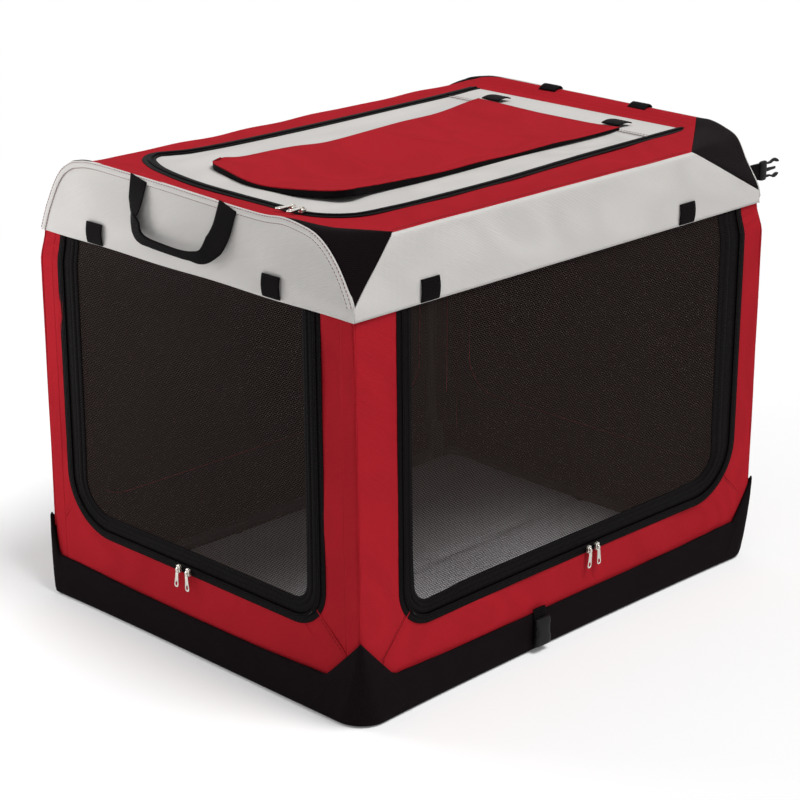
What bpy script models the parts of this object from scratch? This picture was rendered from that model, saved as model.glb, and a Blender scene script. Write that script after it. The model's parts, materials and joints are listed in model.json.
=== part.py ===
# Soft folding dog crate, modelled in metres with +Z up.
# The origin is on the floor at the middle of the base. The crate's length runs along Y,
# the end with the door faces -Y, and the long side with the door faces +X.
import math
from math import cos, pi, radians, sin

import bmesh
import bpy
from mathutils import Matrix, Vector
from mathutils.geometry import tessellate_polygon

# Overall fabric box
wall_half_width = 0.3045
wall_half_length = 0.4015
roof_height = 0.645
fabric_thickness = 0.003
band_thickness = 0.002
seam_gap = 0.0003
sewn_gap = 0.0005
wall_corner_radius = 0.025

# Base tray of padded fabric with pointed corners
tray_wall = 0.0047
tray_floor = 0.003
tray_height = 0.061
tray_corner_rise = 0.064
tray_corner_reach = 0.060
tray_corner_steps = 6
tray_shoulder_share = 0.45

# Steel tube frames
tube_radius = 0.008
tube_sides = 12
tube_corner_steps = 5
base_frame_inset = 0.0125
base_frame_corner = 0.025
roof_frame_inset_side = 0.0205
roof_frame_inset_end = 0.0115
roof_frame_corner = 0.090

# Hoops that swing up from the base
hoop_corner = 0.060
front_hoop_side_inset = 0.0395
front_hoop_inset = 0.0115
front_pivot_height = 0.035
rear_hoop_inset = 0.050
rear_pivot_height = 0.065
rear_bar_below_roof = 0.0325
eye_radius = 0.0105
eye_width = 0.0148
eye_stem_width = 0.012
eye_stem_rise = 0.022
eye_hole_radius = 0.0034
eye_steps = 12
tube_start_above_pivot = 0.012

# Hinge brackets on the base frame, each with its rivet
bracket_thickness = 0.0098
bracket_half_base = 0.011
bracket_top_radius = 0.0105
rivet_radius = 0.003
rivet_length = 0.0155
rivet_sides = 12

# Roof rails and the clips that run on them
rail_inset = 0.0865
rail_width = 0.010
rail_height = 0.006
rail_drop = 0.003
runner_width = 0.024
runner_length = 0.030
runner_floor = 0.0045
runner_roof = 0.0044
runner_bore_radius = 0.0085
runner_bore_sides = 16
runner_rail_clearance = 0.0004
rest_pad_offset = 0.150
rest_pad_width = 0.020
rest_pad_length = 0.014

# Floor
board_thickness = 0.003
mat_thickness = 0.014
mat_crown = 0.004
mat_edge_radius = 0.005
mat_draw_in = 0.006
mat_inset = 0.012
mat_corner_radius = 0.030
mat_side_steps = 6
mat_crown_shares = ((0.33, 0.7), (0.67, 1.0))

# Walls and their door and window openings
wall_foot_height = 0.049
wall_lap = 0.015
front_wall_foot_gap = 0.0013
front_wall_lap = 0.043
end_opening_inset = 0.0525
end_opening_sill = 0.127
side_opening_half_length = 0.335
side_opening_sill = 0.122
opening_corner_radius = 0.060
window_corner_radius = 0.060
window_below_band = 0.020
zip_tape_width = 0.010
zip_tape_thickness = 0.001
door_binding_width = 0.020
door_head_binding = 0.012
mesh_thickness = 0.0012
arc_steps = 7
small_arc_steps = 4
wall_corner_steps = 5
sharp_angle = radians(40)

# Top bands and corner patches
band_height = 0.100
end_curve_width = 0.120
end_curve_height = 0.095
end_curve_steps = 8
patch_reach = 0.0657
patch_thickness = 0.0015
patch_inset = 0.0014

# Roof hatch, its mesh window and the flap over it
hatch_half_width = 0.205
hatch_front = -0.350
hatch_rear = 0.280
hatch_corner_radius = 0.030
hatch_window_half_width = 0.115
hatch_window_margin = 0.085
hatch_window_rear_margin = 0.025
hatch_window_corner = 0.020
flap_front = -0.277
flap_front_left = 0.109
flap_front_right = 0.180
flap_waist_right = 0.154
flap_waist_along = -0.129
flap_rear_left = 0.127
flap_rear_right = 0.144
flap_corner_cut = 0.030
flap_thickness = 0.0015

# Carry handles of webbing
handle_half_width = 0.107
webbing_width = 0.033
handle_drop = 0.054
handle_bottom_width = 0.020
handle_thickness = 0.003
handle_tilt = radians(35)
handle_pivot_below_roof = 0.033
handle_pivot_stand_off = 0.0022
handle_corner_radius = 0.030
handle_inner_radius = 0.012

# Zip sliders and their pulls
slider_length = 0.008
slider_height = 0.011
slider_depth = 0.0050
slider_corner = 0.0022
slider_arc_steps = 2
lug_length = 0.0036
lug_height = 0.0050
lug_inset = 0.0022
lug_rise = 0.0022
pull_length = 0.023
pull_width = 0.0066
pull_corner = 0.0020
pull_thickness = 0.0014
pull_slot_length = 0.009
pull_slot_width = 0.0030
pull_slot_corner = 0.0013
pull_slot_margin = 0.0030
pull_gap = 0.0010
pull_lift = 0.0004
front_slider_places = (-0.034, -0.015)
side_slider_places = (0.043, 0.060)
hatch_slider_places = (0.150, 0.167)

# Side-release buckle halves and the strap stubs that carry them
buckle_along = -0.060
buckle_width = 0.030
buckle_length = 0.040
buckle_depth = 0.009
buckle_mouth_width = 0.019
buckle_mouth_depth = 0.012
buckle_mouth_height = 0.005
stub_width = 0.025
stub_thickness = 0.0016
stub_length = 0.014
stub_below_rim = 0.004
plug_inset = 0.0345
plug_below_roof = 0.070
plug_length = 0.044
plug_thickness = 0.006
plug_prong_width = 0.006
plug_prong_length = 0.027
plug_shoulder_width = 0.029
plug_stub_length = 0.0465
stub_wall_gap = 0.0003

# Places worked out from the sizes above
tray_inner_x = wall_half_width + seam_gap
tray_inner_y = wall_half_length + seam_gap
tray_outer_x = tray_inner_x + tray_wall
tray_outer_y = tray_inner_y + tray_wall
tray_inner_radius = wall_corner_radius + seam_gap
base_frame_x = wall_half_width - base_frame_inset
base_frame_y = wall_half_length - base_frame_inset
base_frame_z = tray_floor + sewn_gap + tube_radius
board_top = tray_floor + seam_gap + board_thickness
roof_underside = roof_height - fabric_thickness
band_foot_height = roof_height - band_height
opening_head_height = band_foot_height
wall_head_height = band_foot_height + wall_lap
front_wall_head_height = band_foot_height + front_wall_lap
front_wall_half_width = wall_half_width - wall_corner_radius - sewn_gap
end_opening_half_width = wall_half_width - end_opening_inset
roof_frame_x = wall_half_width - roof_frame_inset_side
roof_frame_y = wall_half_length - roof_frame_inset_end
roof_frame_z = roof_underside - seam_gap - tube_radius
rail_z = roof_frame_z - rail_drop
rail_offset = wall_half_width - rail_inset
front_pivot_y = -(wall_half_length - front_hoop_inset)
rear_pivot_y = wall_half_length - rear_hoop_inset
front_hoop_half_width = wall_half_width - front_hoop_side_inset
hoop_length = roof_height - rear_bar_below_roof - rear_pivot_height
front_bar_z = front_pivot_height + hoop_length
rear_bar_z = rear_pivot_height + hoop_length
band_inner_x = wall_half_width + sewn_gap
band_inner_y = wall_half_length + sewn_gap
band_outer_x = band_inner_x + band_thickness
band_outer_y = band_inner_y + band_thickness
patch_front_y = band_inner_y - seam_gap
patch_apex_y = patch_front_y - patch_reach
curve_centre_x = band_outer_x - end_curve_width
curve_centre_z = roof_height - end_curve_height
handle_pivot_z = roof_height - handle_pivot_below_roof
handle_pivot_y = band_outer_y + handle_pivot_stand_off
plug_across = wall_half_width - plug_inset
plug_height = roof_height - plug_below_roof


def start_empty_scene():
    """Remove whatever the open file holds."""
    for old in list(bpy.data.objects):
        bpy.data.objects.remove(old)


def finish(name, colour, roughness, metallic=0.0):
    """A Principled material; the colour is linear red, green and blue."""
    material = bpy.data.materials.new(name)
    material.use_nodes = True
    shader = material.node_tree.nodes["Principled BSDF"]
    shader.inputs["Base Color"].default_value = (*colour, 1)
    shader.inputs["Roughness"].default_value = roughness
    shader.inputs["Metallic"].default_value = metallic
    return material


def arc(centre, radius, start, end, steps):
    """Points of a circle's arc; radius may be a pair, which makes it an ellipse's."""
    a, b = radius if isinstance(radius, tuple) else (radius, radius)
    angles = [start + (end - start) * i / steps for i in range(steps + 1)]
    return [(centre[0] + a * cos(t), centre[1] + b * sin(t)) for t in angles]


def circle(centre, radius, sides):
    """Points of a whole circle."""
    return arc(centre, radius, 0, 2 * pi, sides)[:-1]


def rounded_box(low, high, radii, steps=arc_steps):
    """A rectangle's outline, anticlockwise from the lower left, with a radius per corner."""
    corners = [(low[0], low[1]), (high[0], low[1]), (high[0], high[1]), (low[0], high[1])]
    inward = [(1, 1), (-1, 1), (-1, -1), (1, -1)]
    outline = []
    for i, (corner, way, radius) in enumerate(zip(corners, inward, radii)):
        if radius == 0:
            outline.append(corner)
            continue
        centre = (corner[0] + way[0] * radius, corner[1] + way[1] * radius)
        start = pi + i * pi / 2
        outline += arc(centre, radius, start, start + pi / 2, steps)
    return outline


def solid(name, material, verts, faces, origin=(0, 0, 0), parent=None):
    """A closed mesh object whose points are given in world places."""
    mesh = bpy.data.meshes.new(name)
    offset = Vector(origin)
    mesh.from_pydata([Vector(v) - offset for v in verts], [], faces)
    work = bmesh.new()
    work.from_mesh(mesh)
    bmesh.ops.recalc_face_normals(work, faces=work.faces)
    work.to_mesh(mesh)
    work.free()
    mesh.materials.append(material)
    thing = bpy.data.objects.new(name, mesh)
    bpy.context.collection.objects.link(thing)
    thing.location = offset
    if parent:
        thing.parent = parent
        thing.matrix_parent_inverse = Matrix.Translation(-Vector(parent.location))
    return thing


def pivot(name, place, parent=None):
    """An empty on a joint's axis that carries the moving pieces."""
    empty = bpy.data.objects.new(name, None)
    bpy.context.collection.objects.link(empty)
    empty.location = place
    if parent:
        empty.parent = parent
        empty.matrix_parent_inverse = Matrix.Translation(-Vector(parent.location))
    return empty


def on_x(u, v, w):
    return (w, u, v)


def on_y(u, v, w):
    return (u, w, v)


def on_z(u, v, w):
    return (u, v, w)


def prism_data(outline, holes, low, high, to_world):
    """A flat outline with holes, carried from low to high; the two ends are triangulated."""
    loops = [outline] + list(holes)
    caps = tessellate_polygon([[Vector((u, v, 0)) for u, v in loop] for loop in loops])
    flat = [point for loop in loops for point in loop]
    count = len(flat)
    verts = [to_world(u, v, low) for u, v in flat] + [to_world(u, v, high) for u, v in flat]
    faces = [tuple(c) for c in caps] + [tuple(i + count for i in reversed(c)) for c in caps]
    start = 0
    for loop in loops:
        size = len(loop)
        for i in range(size):
            a = start + i
            b = start + (i + 1) % size
            faces.append((a, b, b + count, a + count))
        start += size
    return verts, faces


def prism(name, material, outline, low, high, to_world, holes=(), origin=(0, 0, 0), parent=None):
    verts, faces = prism_data(outline, holes, low, high, to_world)
    return solid(name, material, verts, faces, origin, parent)


def box(name, material, low, high, origin=(0, 0, 0), parent=None):
    outline = rounded_box(low[:2], high[:2], (0, 0, 0, 0))
    return prism(name, material, outline, low[2], high[2], on_z, origin=origin, parent=parent)


def rounded_path(points, radius, steps, closed):
    """A path of straight runs joined by arcs of one radius, as points in 3-D."""
    path = []
    count = len(points)
    for i, point in enumerate(points):
        here = Vector(point)
        if not closed and i in (0, count - 1):
            path.append(here)
            continue
        before = (Vector(points[i - 1]) - here).normalized()
        after = (Vector(points[(i + 1) % count]) - here).normalized()
        centre = here + (before + after) * radius
        for k in range(steps + 1):
            t = pi / 2 * k / steps
            path.append(centre - after * radius * cos(t) - before * radius * sin(t))
    return path


def tube_data(path, radius, sides, closed):
    """A tube's rings along a path that lies in one plane, with flat end caps."""
    count = len(path)
    steps = [(path[(i + 1) % count] - path[i]).normalized() for i in range(count)]
    plane = Vector((0, 0, 0))
    for i in range(count - 1):
        plane += steps[i - 1].cross(steps[i]) if i else Vector((0, 0, 0))
    plane.normalize()
    verts, faces = [], []
    for i, here in enumerate(path):
        ahead = steps[i] if closed or i < count - 1 else steps[i - 1]
        behind = steps[i - 1] if closed or i > 0 else steps[i]
        along = (ahead + behind).normalized()
        side = along.cross(plane).normalized() / along.dot(ahead)
        for k in range(sides):
            t = pi * (2 * k + 1) / sides
            verts.append(here + side * radius * cos(t) + plane * radius * sin(t))
    for i in range(count if closed else count - 1):
        for k in range(sides):
            a = i * sides + k
            b = i * sides + (k + 1) % sides
            c = (i + 1) % count * sides + (k + 1) % sides
            d = (i + 1) % count * sides + k
            faces.append((a, b, c, d))
    if not closed:
        faces.append(tuple(reversed(range(sides))))
        faces.append(tuple(range((count - 1) * sides, count * sides)))
    return verts, faces


def combine(thing, cutter, how):
    """Join or cut a solid with a helper shape that isn't part of the crate."""
    cutter.hide_render = True
    cutter.display_type = "WIRE"
    change = thing.modifiers.new(how.lower(), "BOOLEAN")
    change.object = cutter
    change.operation = how
    change.solver = "EXACT"


def smooth(thing):
    thing.data.shade_smooth()
    thing.data.set_sharp_from_angle(angle=sharp_angle)


def stacked_rings(rings):
    """A closed skin over rings of equally many points, capped at its first and last ring."""
    count = len(rings[0])
    verts = [point for ring in rings for point in ring]
    faces = [tuple(range(count))]
    for level in range(len(rings) - 1):
        for i in range(count):
            a = level * count + i
            b = level * count + (i + 1) % count
            faces.append((a, b, b + count, a + count))
    last = (len(rings) - 1) * count
    faces.append(tuple(range(last, last + count)))
    return verts, faces


def tray_line(half_x, half_y, radius):
    """One face of the tray's wall seen from above, with the height of the rim at each point.

    The rim runs level and climbs to a blunt point at each corner."""
    rise_x = tray_inner_x - tray_corner_reach
    rise_y = tray_inner_y - tray_corner_reach
    line = []
    for quarter, (sx, sy) in enumerate(((1, -1), (1, 1), (-1, 1), (-1, -1))):
        start = (quarter - 1) * pi / 2
        centre = (sx * (half_x - radius), sy * (half_y - radius))
        ends = [(sx * rise_x, sy * half_y, tray_height), (sx * half_x, sy * rise_y, tray_height)]
        first, last = ends if quarter % 2 == 0 else reversed(ends)
        line.append(first)
        for i, (x, y) in enumerate(arc(centre, radius, start, start + pi / 2, tray_corner_steps)):
            off_apex = abs(2 * i / tray_corner_steps - 1)
            rise = tray_corner_rise * (1 - off_apex * tray_shoulder_share)
            line.append((x, y, tray_height + rise))
        line.append(last)
    return line


def build_base(look):
    """The tray, its steel frame, the floor board and the padded mat."""
    outer = tray_line(tray_outer_x, tray_outer_y, tray_inner_radius + tray_wall)
    inner = tray_line(tray_inner_x, tray_inner_y, tray_inner_radius)
    rings = [
        [(x, y, 0) for x, y, rim in outer],
        outer,
        inner,
        [(x, y, tray_floor) for x, y, rim in inner],
    ]
    verts, faces = stacked_rings(rings)
    solid("base_tray", look["black_fabric"], verts, faces)

    ring = [
        (base_frame_x, -base_frame_y, base_frame_z),
        (base_frame_x, base_frame_y, base_frame_z),
        (-base_frame_x, base_frame_y, base_frame_z),
        (-base_frame_x, -base_frame_y, base_frame_z),
    ]
    path = rounded_path(ring, base_frame_corner, tube_corner_steps, True)
    verts, faces = tube_data(path, tube_radius, tube_sides, True)
    smooth(solid("base_frame", look["tube"], verts, faces))

    board_x = base_frame_x - tube_radius - sewn_gap
    board_y = base_frame_y - tube_radius - sewn_gap
    board_corner = base_frame_corner - tube_radius
    outline = rounded_box((-board_x, -board_y), (board_x, board_y), (board_corner,) * 4)
    low = tray_floor + seam_gap
    prism("floor_board", look["board"], outline, low, low + board_thickness, on_z)
    build_mat(look, board_x - mat_inset, board_y - sewn_gap)


def build_mat(look, half_x, half_y):
    """The floor mat: a flat foot, sides drawn in between the corners, and a crowned top."""
    outline = rounded_box((-half_x, -half_y), (half_x, half_y), (mat_corner_radius,) * 4)
    extra = []
    for i, (x, y) in enumerate(outline):
        extra.append((x, y))
        nx, ny = outline[(i + 1) % len(outline)]
        if math.hypot(nx - x, ny - y) > mat_corner_radius:
            for k in range(1, mat_side_steps):
                share = k / mat_side_steps
                extra.append((x + (nx - x) * share, y + (ny - y) * share))
    foot = board_top + seam_gap
    rings = []
    levels = [
        (0, mat_edge_radius, 0),
        (mat_edge_radius, 0, 0),
        (mat_thickness - mat_edge_radius, 0, 0),
        (mat_thickness, mat_edge_radius, 0),
    ]
    for inset_share, crown_share in mat_crown_shares:
        levels.append((mat_thickness, half_x * inset_share, crown_share))
    for height, inset, crown in levels:
        ring = []
        for x, y in extra:
            pull = mat_draw_in * max(0, 1 - (x / half_x) ** 2) * (abs(y) / half_y)
            side = mat_draw_in * max(0, 1 - (y / half_y) ** 2) * (abs(x) / half_x)
            wide = (half_x - side - inset) / half_x
            long = (half_y - pull - inset) / half_y
            ring.append((x * wide, y * long, foot + height + mat_crown * crown))
        rings.append(ring)
    verts, faces = stacked_rings(rings)
    smooth(solid("floor_mat", look["mat_fabric"], verts, faces))


def build_brackets(look):
    """Four brackets on the base frame, each with a rivet through a hoop's eye.

    The front pair stands on the frame's corners, the rear pair beside its long tubes."""
    outer_face = base_frame_x - tube_radius - seam_gap
    inner_face = outer_face - bracket_thickness
    on_tube = base_frame_z + tube_radius + seam_gap
    beside_tube = board_top + sewn_gap
    ends = (
        ("front", front_pivot_y, front_pivot_height, on_tube),
        ("rear", rear_pivot_y, rear_pivot_height, beside_tube),
    )
    for end, y, z, foot in ends:
        head = arc((y, z), bracket_top_radius, 0, pi, eye_steps)
        outline = head + [(y - bracket_half_base, foot), (y + bracket_half_base, foot)]
        rivet = circle((y, z), rivet_radius, rivet_sides)
        for side, way in (("left", -1), ("right", 1)):
            if end == "front":
                plain, bossed, tip = outer_face, inner_face, inner_face - rivet_length
            else:
                plain, bossed, tip = inner_face, outer_face, outer_face + rivet_length
            verts, faces = bossed_plate(outline, rivet, plain * way, bossed * way, tip * way)
            name = f"{end}_{side}_hinge_bracket"
            solid(name, look["steel"], verts, faces)


def bossed_plate(outline, boss, plain, bossed, tip):
    """A plate across X with a round boss standing on one of its faces."""
    loops = [outline, boss]
    ring = tessellate_polygon([[Vector((u, v, 0)) for u, v in loop] for loop in loops])
    back = tessellate_polygon([[Vector((u, v, 0)) for u, v in outline]])
    m, n = len(outline), len(boss)
    verts = [(plain, u, v) for u, v in outline] + [(bossed, u, v) for u, v in outline]
    verts += [(bossed, u, v) for u, v in boss] + [(tip, u, v) for u, v in boss]
    faces = [tuple(c) for c in back]
    faces += [tuple(m + i for i in c) for c in ring]
    faces += [(i, (i + 1) % m, m + (i + 1) % m, m + i) for i in range(m)]
    base = 2 * m
    faces += [(base + i, base + (i + 1) % n, base + n + (i + 1) % n, base + n + i) for i in range(n)]
    faces.append(tuple(range(base + n, base + 2 * n)))
    return verts, faces


def build_hoop(name, look, half_width, y, pivot_z, bar_z, carrier):
    """An inverted U of tube whose two legs end in flat eyes on the hinge rivets."""
    start = pivot_z + tube_start_above_pivot
    points = [
        (-half_width, y, start),
        (-half_width, y, bar_z),
        (half_width, y, bar_z),
        (half_width, y, start),
    ]
    path = rounded_path(points, hoop_corner, tube_corner_steps, False)
    verts, faces = tube_data(path, tube_radius, tube_sides, False)
    hoop = solid(name, look["tube"], verts, faces, (0, y, pivot_z), carrier)
    stem = eye_stem_width / 2
    top = pivot_z + eye_stem_rise
    lean = math.asin(stem / eye_radius)
    outline = arc((y, pivot_z), eye_radius, pi / 2 + lean, 2 * pi + pi / 2 - lean, eye_steps)
    outline += [(y + stem, top), (y - stem, top)]
    hole = circle((y, pivot_z), eye_hole_radius, rivet_sides)
    eyes_verts, eyes_faces = [], []
    for way in (-1, 1):
        centre = way * half_width
        low, high = centre - eye_width / 2, centre + eye_width / 2
        verts, faces = prism_data(outline, [hole], low, high, on_x)
        shift = len(eyes_verts)
        eyes_verts += verts
        eyes_faces += [tuple(i + shift for i in face) for face in faces]
    eyes = solid(name + "_eyes", look["tube"], eyes_verts, eyes_faces)
    combine(hoop, eyes, "UNION")
    smooth(hoop)
    return hoop


def opening(half, sill, head, corner, spare=0.0):
    """A door opening's outline: rounded at the sill, square at the head."""
    radius = corner + spare
    low = (-half - spare, sill - spare)
    return rounded_box(low, (half + spare, head), (radius, radius, 0, 0))


def window(half, sill, head, corner, spare=0.0):
    """A fixed mesh window's outline, rounded at all four corners."""
    radius = corner + spare
    return rounded_box((-half - spare, sill - spare), (half + spare, head + spare), (radius,) * 4)


def build_zip_tape(name, look, half, sill, head, to_world, low, high, parent=None):
    """The fixed half of the zip: a U of tape outside the opening, on the wall's face."""
    inside = opening(half + seam_gap, sill - seam_gap, head, opening_corner_radius)
    outside = opening(half, sill, head, opening_corner_radius, zip_tape_width)
    inner_run = inside[-1:] + inside[:-1]
    outer_run = outside[-1:] + outside[:-1]
    outline = outer_run + list(reversed(inner_run))
    return prism(name, look["zip_tape"], outline, low, high, to_world, parent=parent)


def build_door(name, look, half, sill, head, to_world, low, high, carrier):
    """A mesh panel in a binding of tape, sewn at its head and free at its other edges."""
    edge = 2 * seam_gap
    edge_radius = opening_corner_radius - edge
    outside = opening(half - edge, sill + edge, head - sewn_gap, edge_radius)
    inner = half - edge - door_binding_width
    inner_sill = sill + edge + door_binding_width
    inner_head = head - sewn_gap - door_head_binding
    inner_radius = opening_corner_radius - edge - door_binding_width
    inside = rounded_box((-inner, inner_sill), (inner, inner_head), (inner_radius,) * 2 + (0, 0))
    prism(
        name + "_binding", look["binding"], outside, low, high, to_world,
        holes=[inside], parent=carrier,
    )
    slim = seam_gap
    net = rounded_box(
        (-inner + slim, inner_sill + slim), (inner - slim, inner_head - slim),
        (inner_radius,) * 2 + (0, 0),
    )
    middle = (low + high) / 2
    half_net = mesh_thickness / 2
    prism(
        name + "_mesh", look["net"], net, middle - half_net, middle + half_net, to_world,
        parent=carrier,
    )


def bent_wall(name, look, way, hole):
    """A long side wall whose two ends turn round the crate's upright corners.

    The wall is cut flat as u along and v up, then each end of u past the corner's start
    follows the corner's arc."""
    turn_start = wall_half_length - wall_corner_radius
    middle_radius = wall_corner_radius - fabric_thickness / 2
    turn = middle_radius * pi / 2
    reach = turn_start + turn + (wall_half_width - wall_corner_radius)
    reach -= front_wall_half_width + seam_gap
    outline = rounded_box((-reach, wall_foot_height), (reach, wall_head_height), (0, 0, 0, 0))
    verts, faces = prism_data(outline, [hole], 0, fabric_thickness, on_z)
    work = bmesh.new()
    made = [work.verts.new(v) for v in verts]
    for face in faces:
        work.faces.new([made[i] for i in face])
    for sign in (-1, 1):
        for k in range(wall_corner_steps + 1):
            cut = sign * (turn_start + turn * k / wall_corner_steps)
            everything = work.verts[:] + work.edges[:] + work.faces[:]
            bmesh.ops.bisect_plane(work, geom=everything, plane_co=(cut, 0, 0), plane_no=(1, 0, 0))
    for vert in work.verts:
        u, v, depth = vert.co
        sign = 1 if u > 0 else -1
        along = abs(u)
        radius = wall_corner_radius - depth
        if along <= turn_start:
            x, y = wall_half_width - depth, along
        elif along <= turn_start + turn:
            t = (along - turn_start) / middle_radius
            x = wall_half_width - wall_corner_radius + radius * cos(t)
            y = turn_start + radius * sin(t)
        else:
            x = wall_half_width - wall_corner_radius - (along - turn_start - turn)
            y = turn_start + radius
        vert.co = (way * x, sign * y, v)
    bmesh.ops.recalc_face_normals(work, faces=work.faces)
    mesh = bpy.data.meshes.new(name)
    work.to_mesh(mesh)
    work.free()
    mesh.materials.append(look["red_fabric"])
    wall = bpy.data.objects.new(name, mesh)
    bpy.context.collection.objects.link(wall)
    return wall


def build_walls(look, carriers):
    """The red walls, the fixed mesh windows, the zips' fixed tapes and the two mesh doors."""
    face_x, face_y = wall_half_width, wall_half_length
    back_x, back_y = face_x - fabric_thickness, face_y - fabric_thickness
    head = opening_head_height
    side_half, side_sill = side_opening_half_length, side_opening_sill
    end_half, end_sill = end_opening_half_width, end_opening_sill

    side_hole = opening(side_half, side_sill, head, opening_corner_radius)
    bent_wall("right_wall", look, 1, side_hole)
    tape_x = face_x + seam_gap
    build_zip_tape(
        "right_zip_tape", look, side_half, side_sill, head - sewn_gap, on_x,
        tape_x, tape_x + zip_tape_thickness,
    )
    build_door(
        "right_door", look, side_half, side_sill, head, on_x, back_x, face_x,
        carriers["right_door"],
    )

    window_head = head - window_below_band
    side_window = window(side_half, side_sill, window_head, window_corner_radius)
    bent_wall("left_wall", look, -1, side_window)
    net = window(side_half, side_sill, window_head, window_corner_radius, -seam_gap)
    middle_x = (back_x + face_x) / 2
    thin = mesh_thickness / 2
    prism("left_window_mesh", look["net"], net, -middle_x - thin, -middle_x + thin, on_x)

    rear_low = (-front_wall_half_width, wall_foot_height)
    rear_high = (front_wall_half_width, wall_head_height)
    rear_outline = rounded_box(rear_low, rear_high, (0, 0, 0, 0))
    rear_window = window(end_half, end_sill, window_head, window_corner_radius)
    prism(
        "rear_wall", look["red_fabric"], rear_outline, back_y, face_y, on_y,
        holes=[rear_window],
    )
    net = window(end_half, end_sill, window_head, window_corner_radius, -seam_gap)
    middle_y = (back_y + face_y) / 2
    prism("rear_window_mesh", look["net"], net, middle_y - thin, middle_y + thin, on_y)

    foot = tray_height + front_wall_foot_gap
    front_low = (-front_wall_half_width, foot)
    front_high = (front_wall_half_width, front_wall_head_height)
    front_outline = rounded_box(front_low, front_high, (0, 0, 0, 0))
    front_hole = opening(end_half, end_sill, head, opening_corner_radius)
    prism(
        "front_wall", look["red_fabric"], front_outline, -face_y, -back_y, on_y,
        holes=[front_hole], parent=carriers["front_hoop"],
    )
    tape_y = -(face_y + seam_gap)
    build_zip_tape(
        "front_zip_tape", look, end_half, end_sill, head - sewn_gap, on_y,
        tape_y - zip_tape_thickness, tape_y, parent=carriers["front_hoop"],
    )
    build_door(
        "front_door", look, end_half, end_sill, head, on_y, -face_y, -back_y,
        carriers["front_door"],
    )


def build_roof(look, carrier):
    """The roof's tube frame and rails, its red panel with the hatch opening, and the zip's tape."""
    ring = [
        (roof_frame_x, -roof_frame_y, roof_frame_z),
        (roof_frame_x, roof_frame_y, roof_frame_z),
        (-roof_frame_x, roof_frame_y, roof_frame_z),
        (-roof_frame_x, -roof_frame_y, roof_frame_z),
    ]
    path = rounded_path(ring, roof_frame_corner, tube_corner_steps, True)
    verts, faces = tube_data(path, tube_radius, tube_sides, True)
    smooth(solid("roof_frame", look["tube"], verts, faces, parent=carrier))
    bend = (roof_frame_corner - tube_radius) * cos(pi / 4 / tube_corner_steps)
    past_bend = max(0, rail_offset + rail_width / 2 - (roof_frame_x - roof_frame_corner))
    rail_end = roof_frame_y - roof_frame_corner + math.sqrt(bend ** 2 - past_bend ** 2) - seam_gap
    for side, way in (("left", -1), ("right", 1)):
        x = way * rail_offset
        low = (x - rail_width / 2, -rail_end, rail_z - rail_height / 2)
        high = (x + rail_width / 2, rail_end, rail_z + rail_height / 2)
        box(f"{side}_roof_rail", look["steel"], low, high, parent=carrier)
        x = way * rest_pad_offset
        low = (x - rest_pad_width / 2, -roof_frame_y)
        high = (x + rest_pad_width / 2, -roof_frame_y + rest_pad_length)
        foot = front_bar_z + tube_radius + seam_gap
        crown = roof_frame_z - tube_radius - seam_gap
        box(f"{side}_rest_pad", look["plastic"], (*low, foot), (*high, crown), parent=carrier)

    half_x = wall_half_width + seam_gap - sewn_gap / 2
    half_y = patch_front_y
    slant = math.hypot(end_curve_width, patch_reach) * patch_inset
    near = curve_centre_x - slant / patch_reach
    far = patch_apex_y + (band_outer_x - half_x) * patch_reach / end_curve_width
    far -= slant / end_curve_width
    outline = [
        (-near, -half_y), (near, -half_y), (half_x, -far), (half_x, far),
        (near, half_y), (-near, half_y), (-half_x, far), (-half_x, -far),
    ]
    hole = hatch_outline(0.0)
    prism(
        "roof_panel", look["red_fabric"], outline, roof_underside, roof_height, on_z,
        holes=[hole], parent=carrier,
    )
    inside = hatch_outline(seam_gap)
    outside = hatch_outline(zip_tape_width)
    inner_run = inside[-1:] + inside[:-1]
    outer_run = outside[-1:] + outside[:-1]
    tape = outer_run + list(reversed(inner_run))
    foot = roof_height + seam_gap
    prism(
        "hatch_zip_tape", look["zip_tape"], tape, foot, foot + zip_tape_thickness, on_z,
        parent=carrier,
    )


def hatch_outline(spare):
    """The hatch opening seen from above, grown by spare except at its sewn rear edge."""
    radius = hatch_corner_radius + spare
    low = (-hatch_half_width - spare, hatch_front - spare)
    return rounded_box(low, (hatch_half_width + spare, hatch_rear), (radius, radius, 0, 0))


def build_bands(look, carrier):
    """The grey bands round the roof's edge; the two end bands have curved shoulders."""
    centre_right = (curve_centre_x, curve_centre_z)
    centre_left = (-curve_centre_x, curve_centre_z)
    size = (end_curve_width, end_curve_height)
    outline = [(-band_outer_x, band_foot_height), (band_outer_x, band_foot_height)]
    outline += arc(centre_right, size, 0, pi / 2, end_curve_steps)
    outline += arc(centre_left, size, pi / 2, pi, end_curve_steps)
    prism(
        "front_band", look["grey_fabric"], outline, -band_outer_y, -band_inner_y, on_y,
        parent=carrier,
    )
    prism(
        "rear_band", look["grey_fabric"], outline, band_inner_y, band_outer_y, on_y,
        parent=carrier,
    )
    end = patch_front_y
    slant = math.hypot(end_curve_height, patch_reach) * patch_inset
    shoulder = curve_centre_z - slant / patch_reach
    top = patch_apex_y - slant / end_curve_height
    side = [
        (-end, band_foot_height), (end, band_foot_height), (end, shoulder),
        (top, roof_height), (-top, roof_height), (-end, shoulder),
    ]
    prism(
        "right_band", look["grey_fabric"], side, band_inner_x, band_outer_x, on_x,
        parent=carrier,
    )
    prism(
        "left_band", look["grey_fabric"], side, -band_outer_x, -band_inner_x, on_x,
        parent=carrier,
    )


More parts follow.
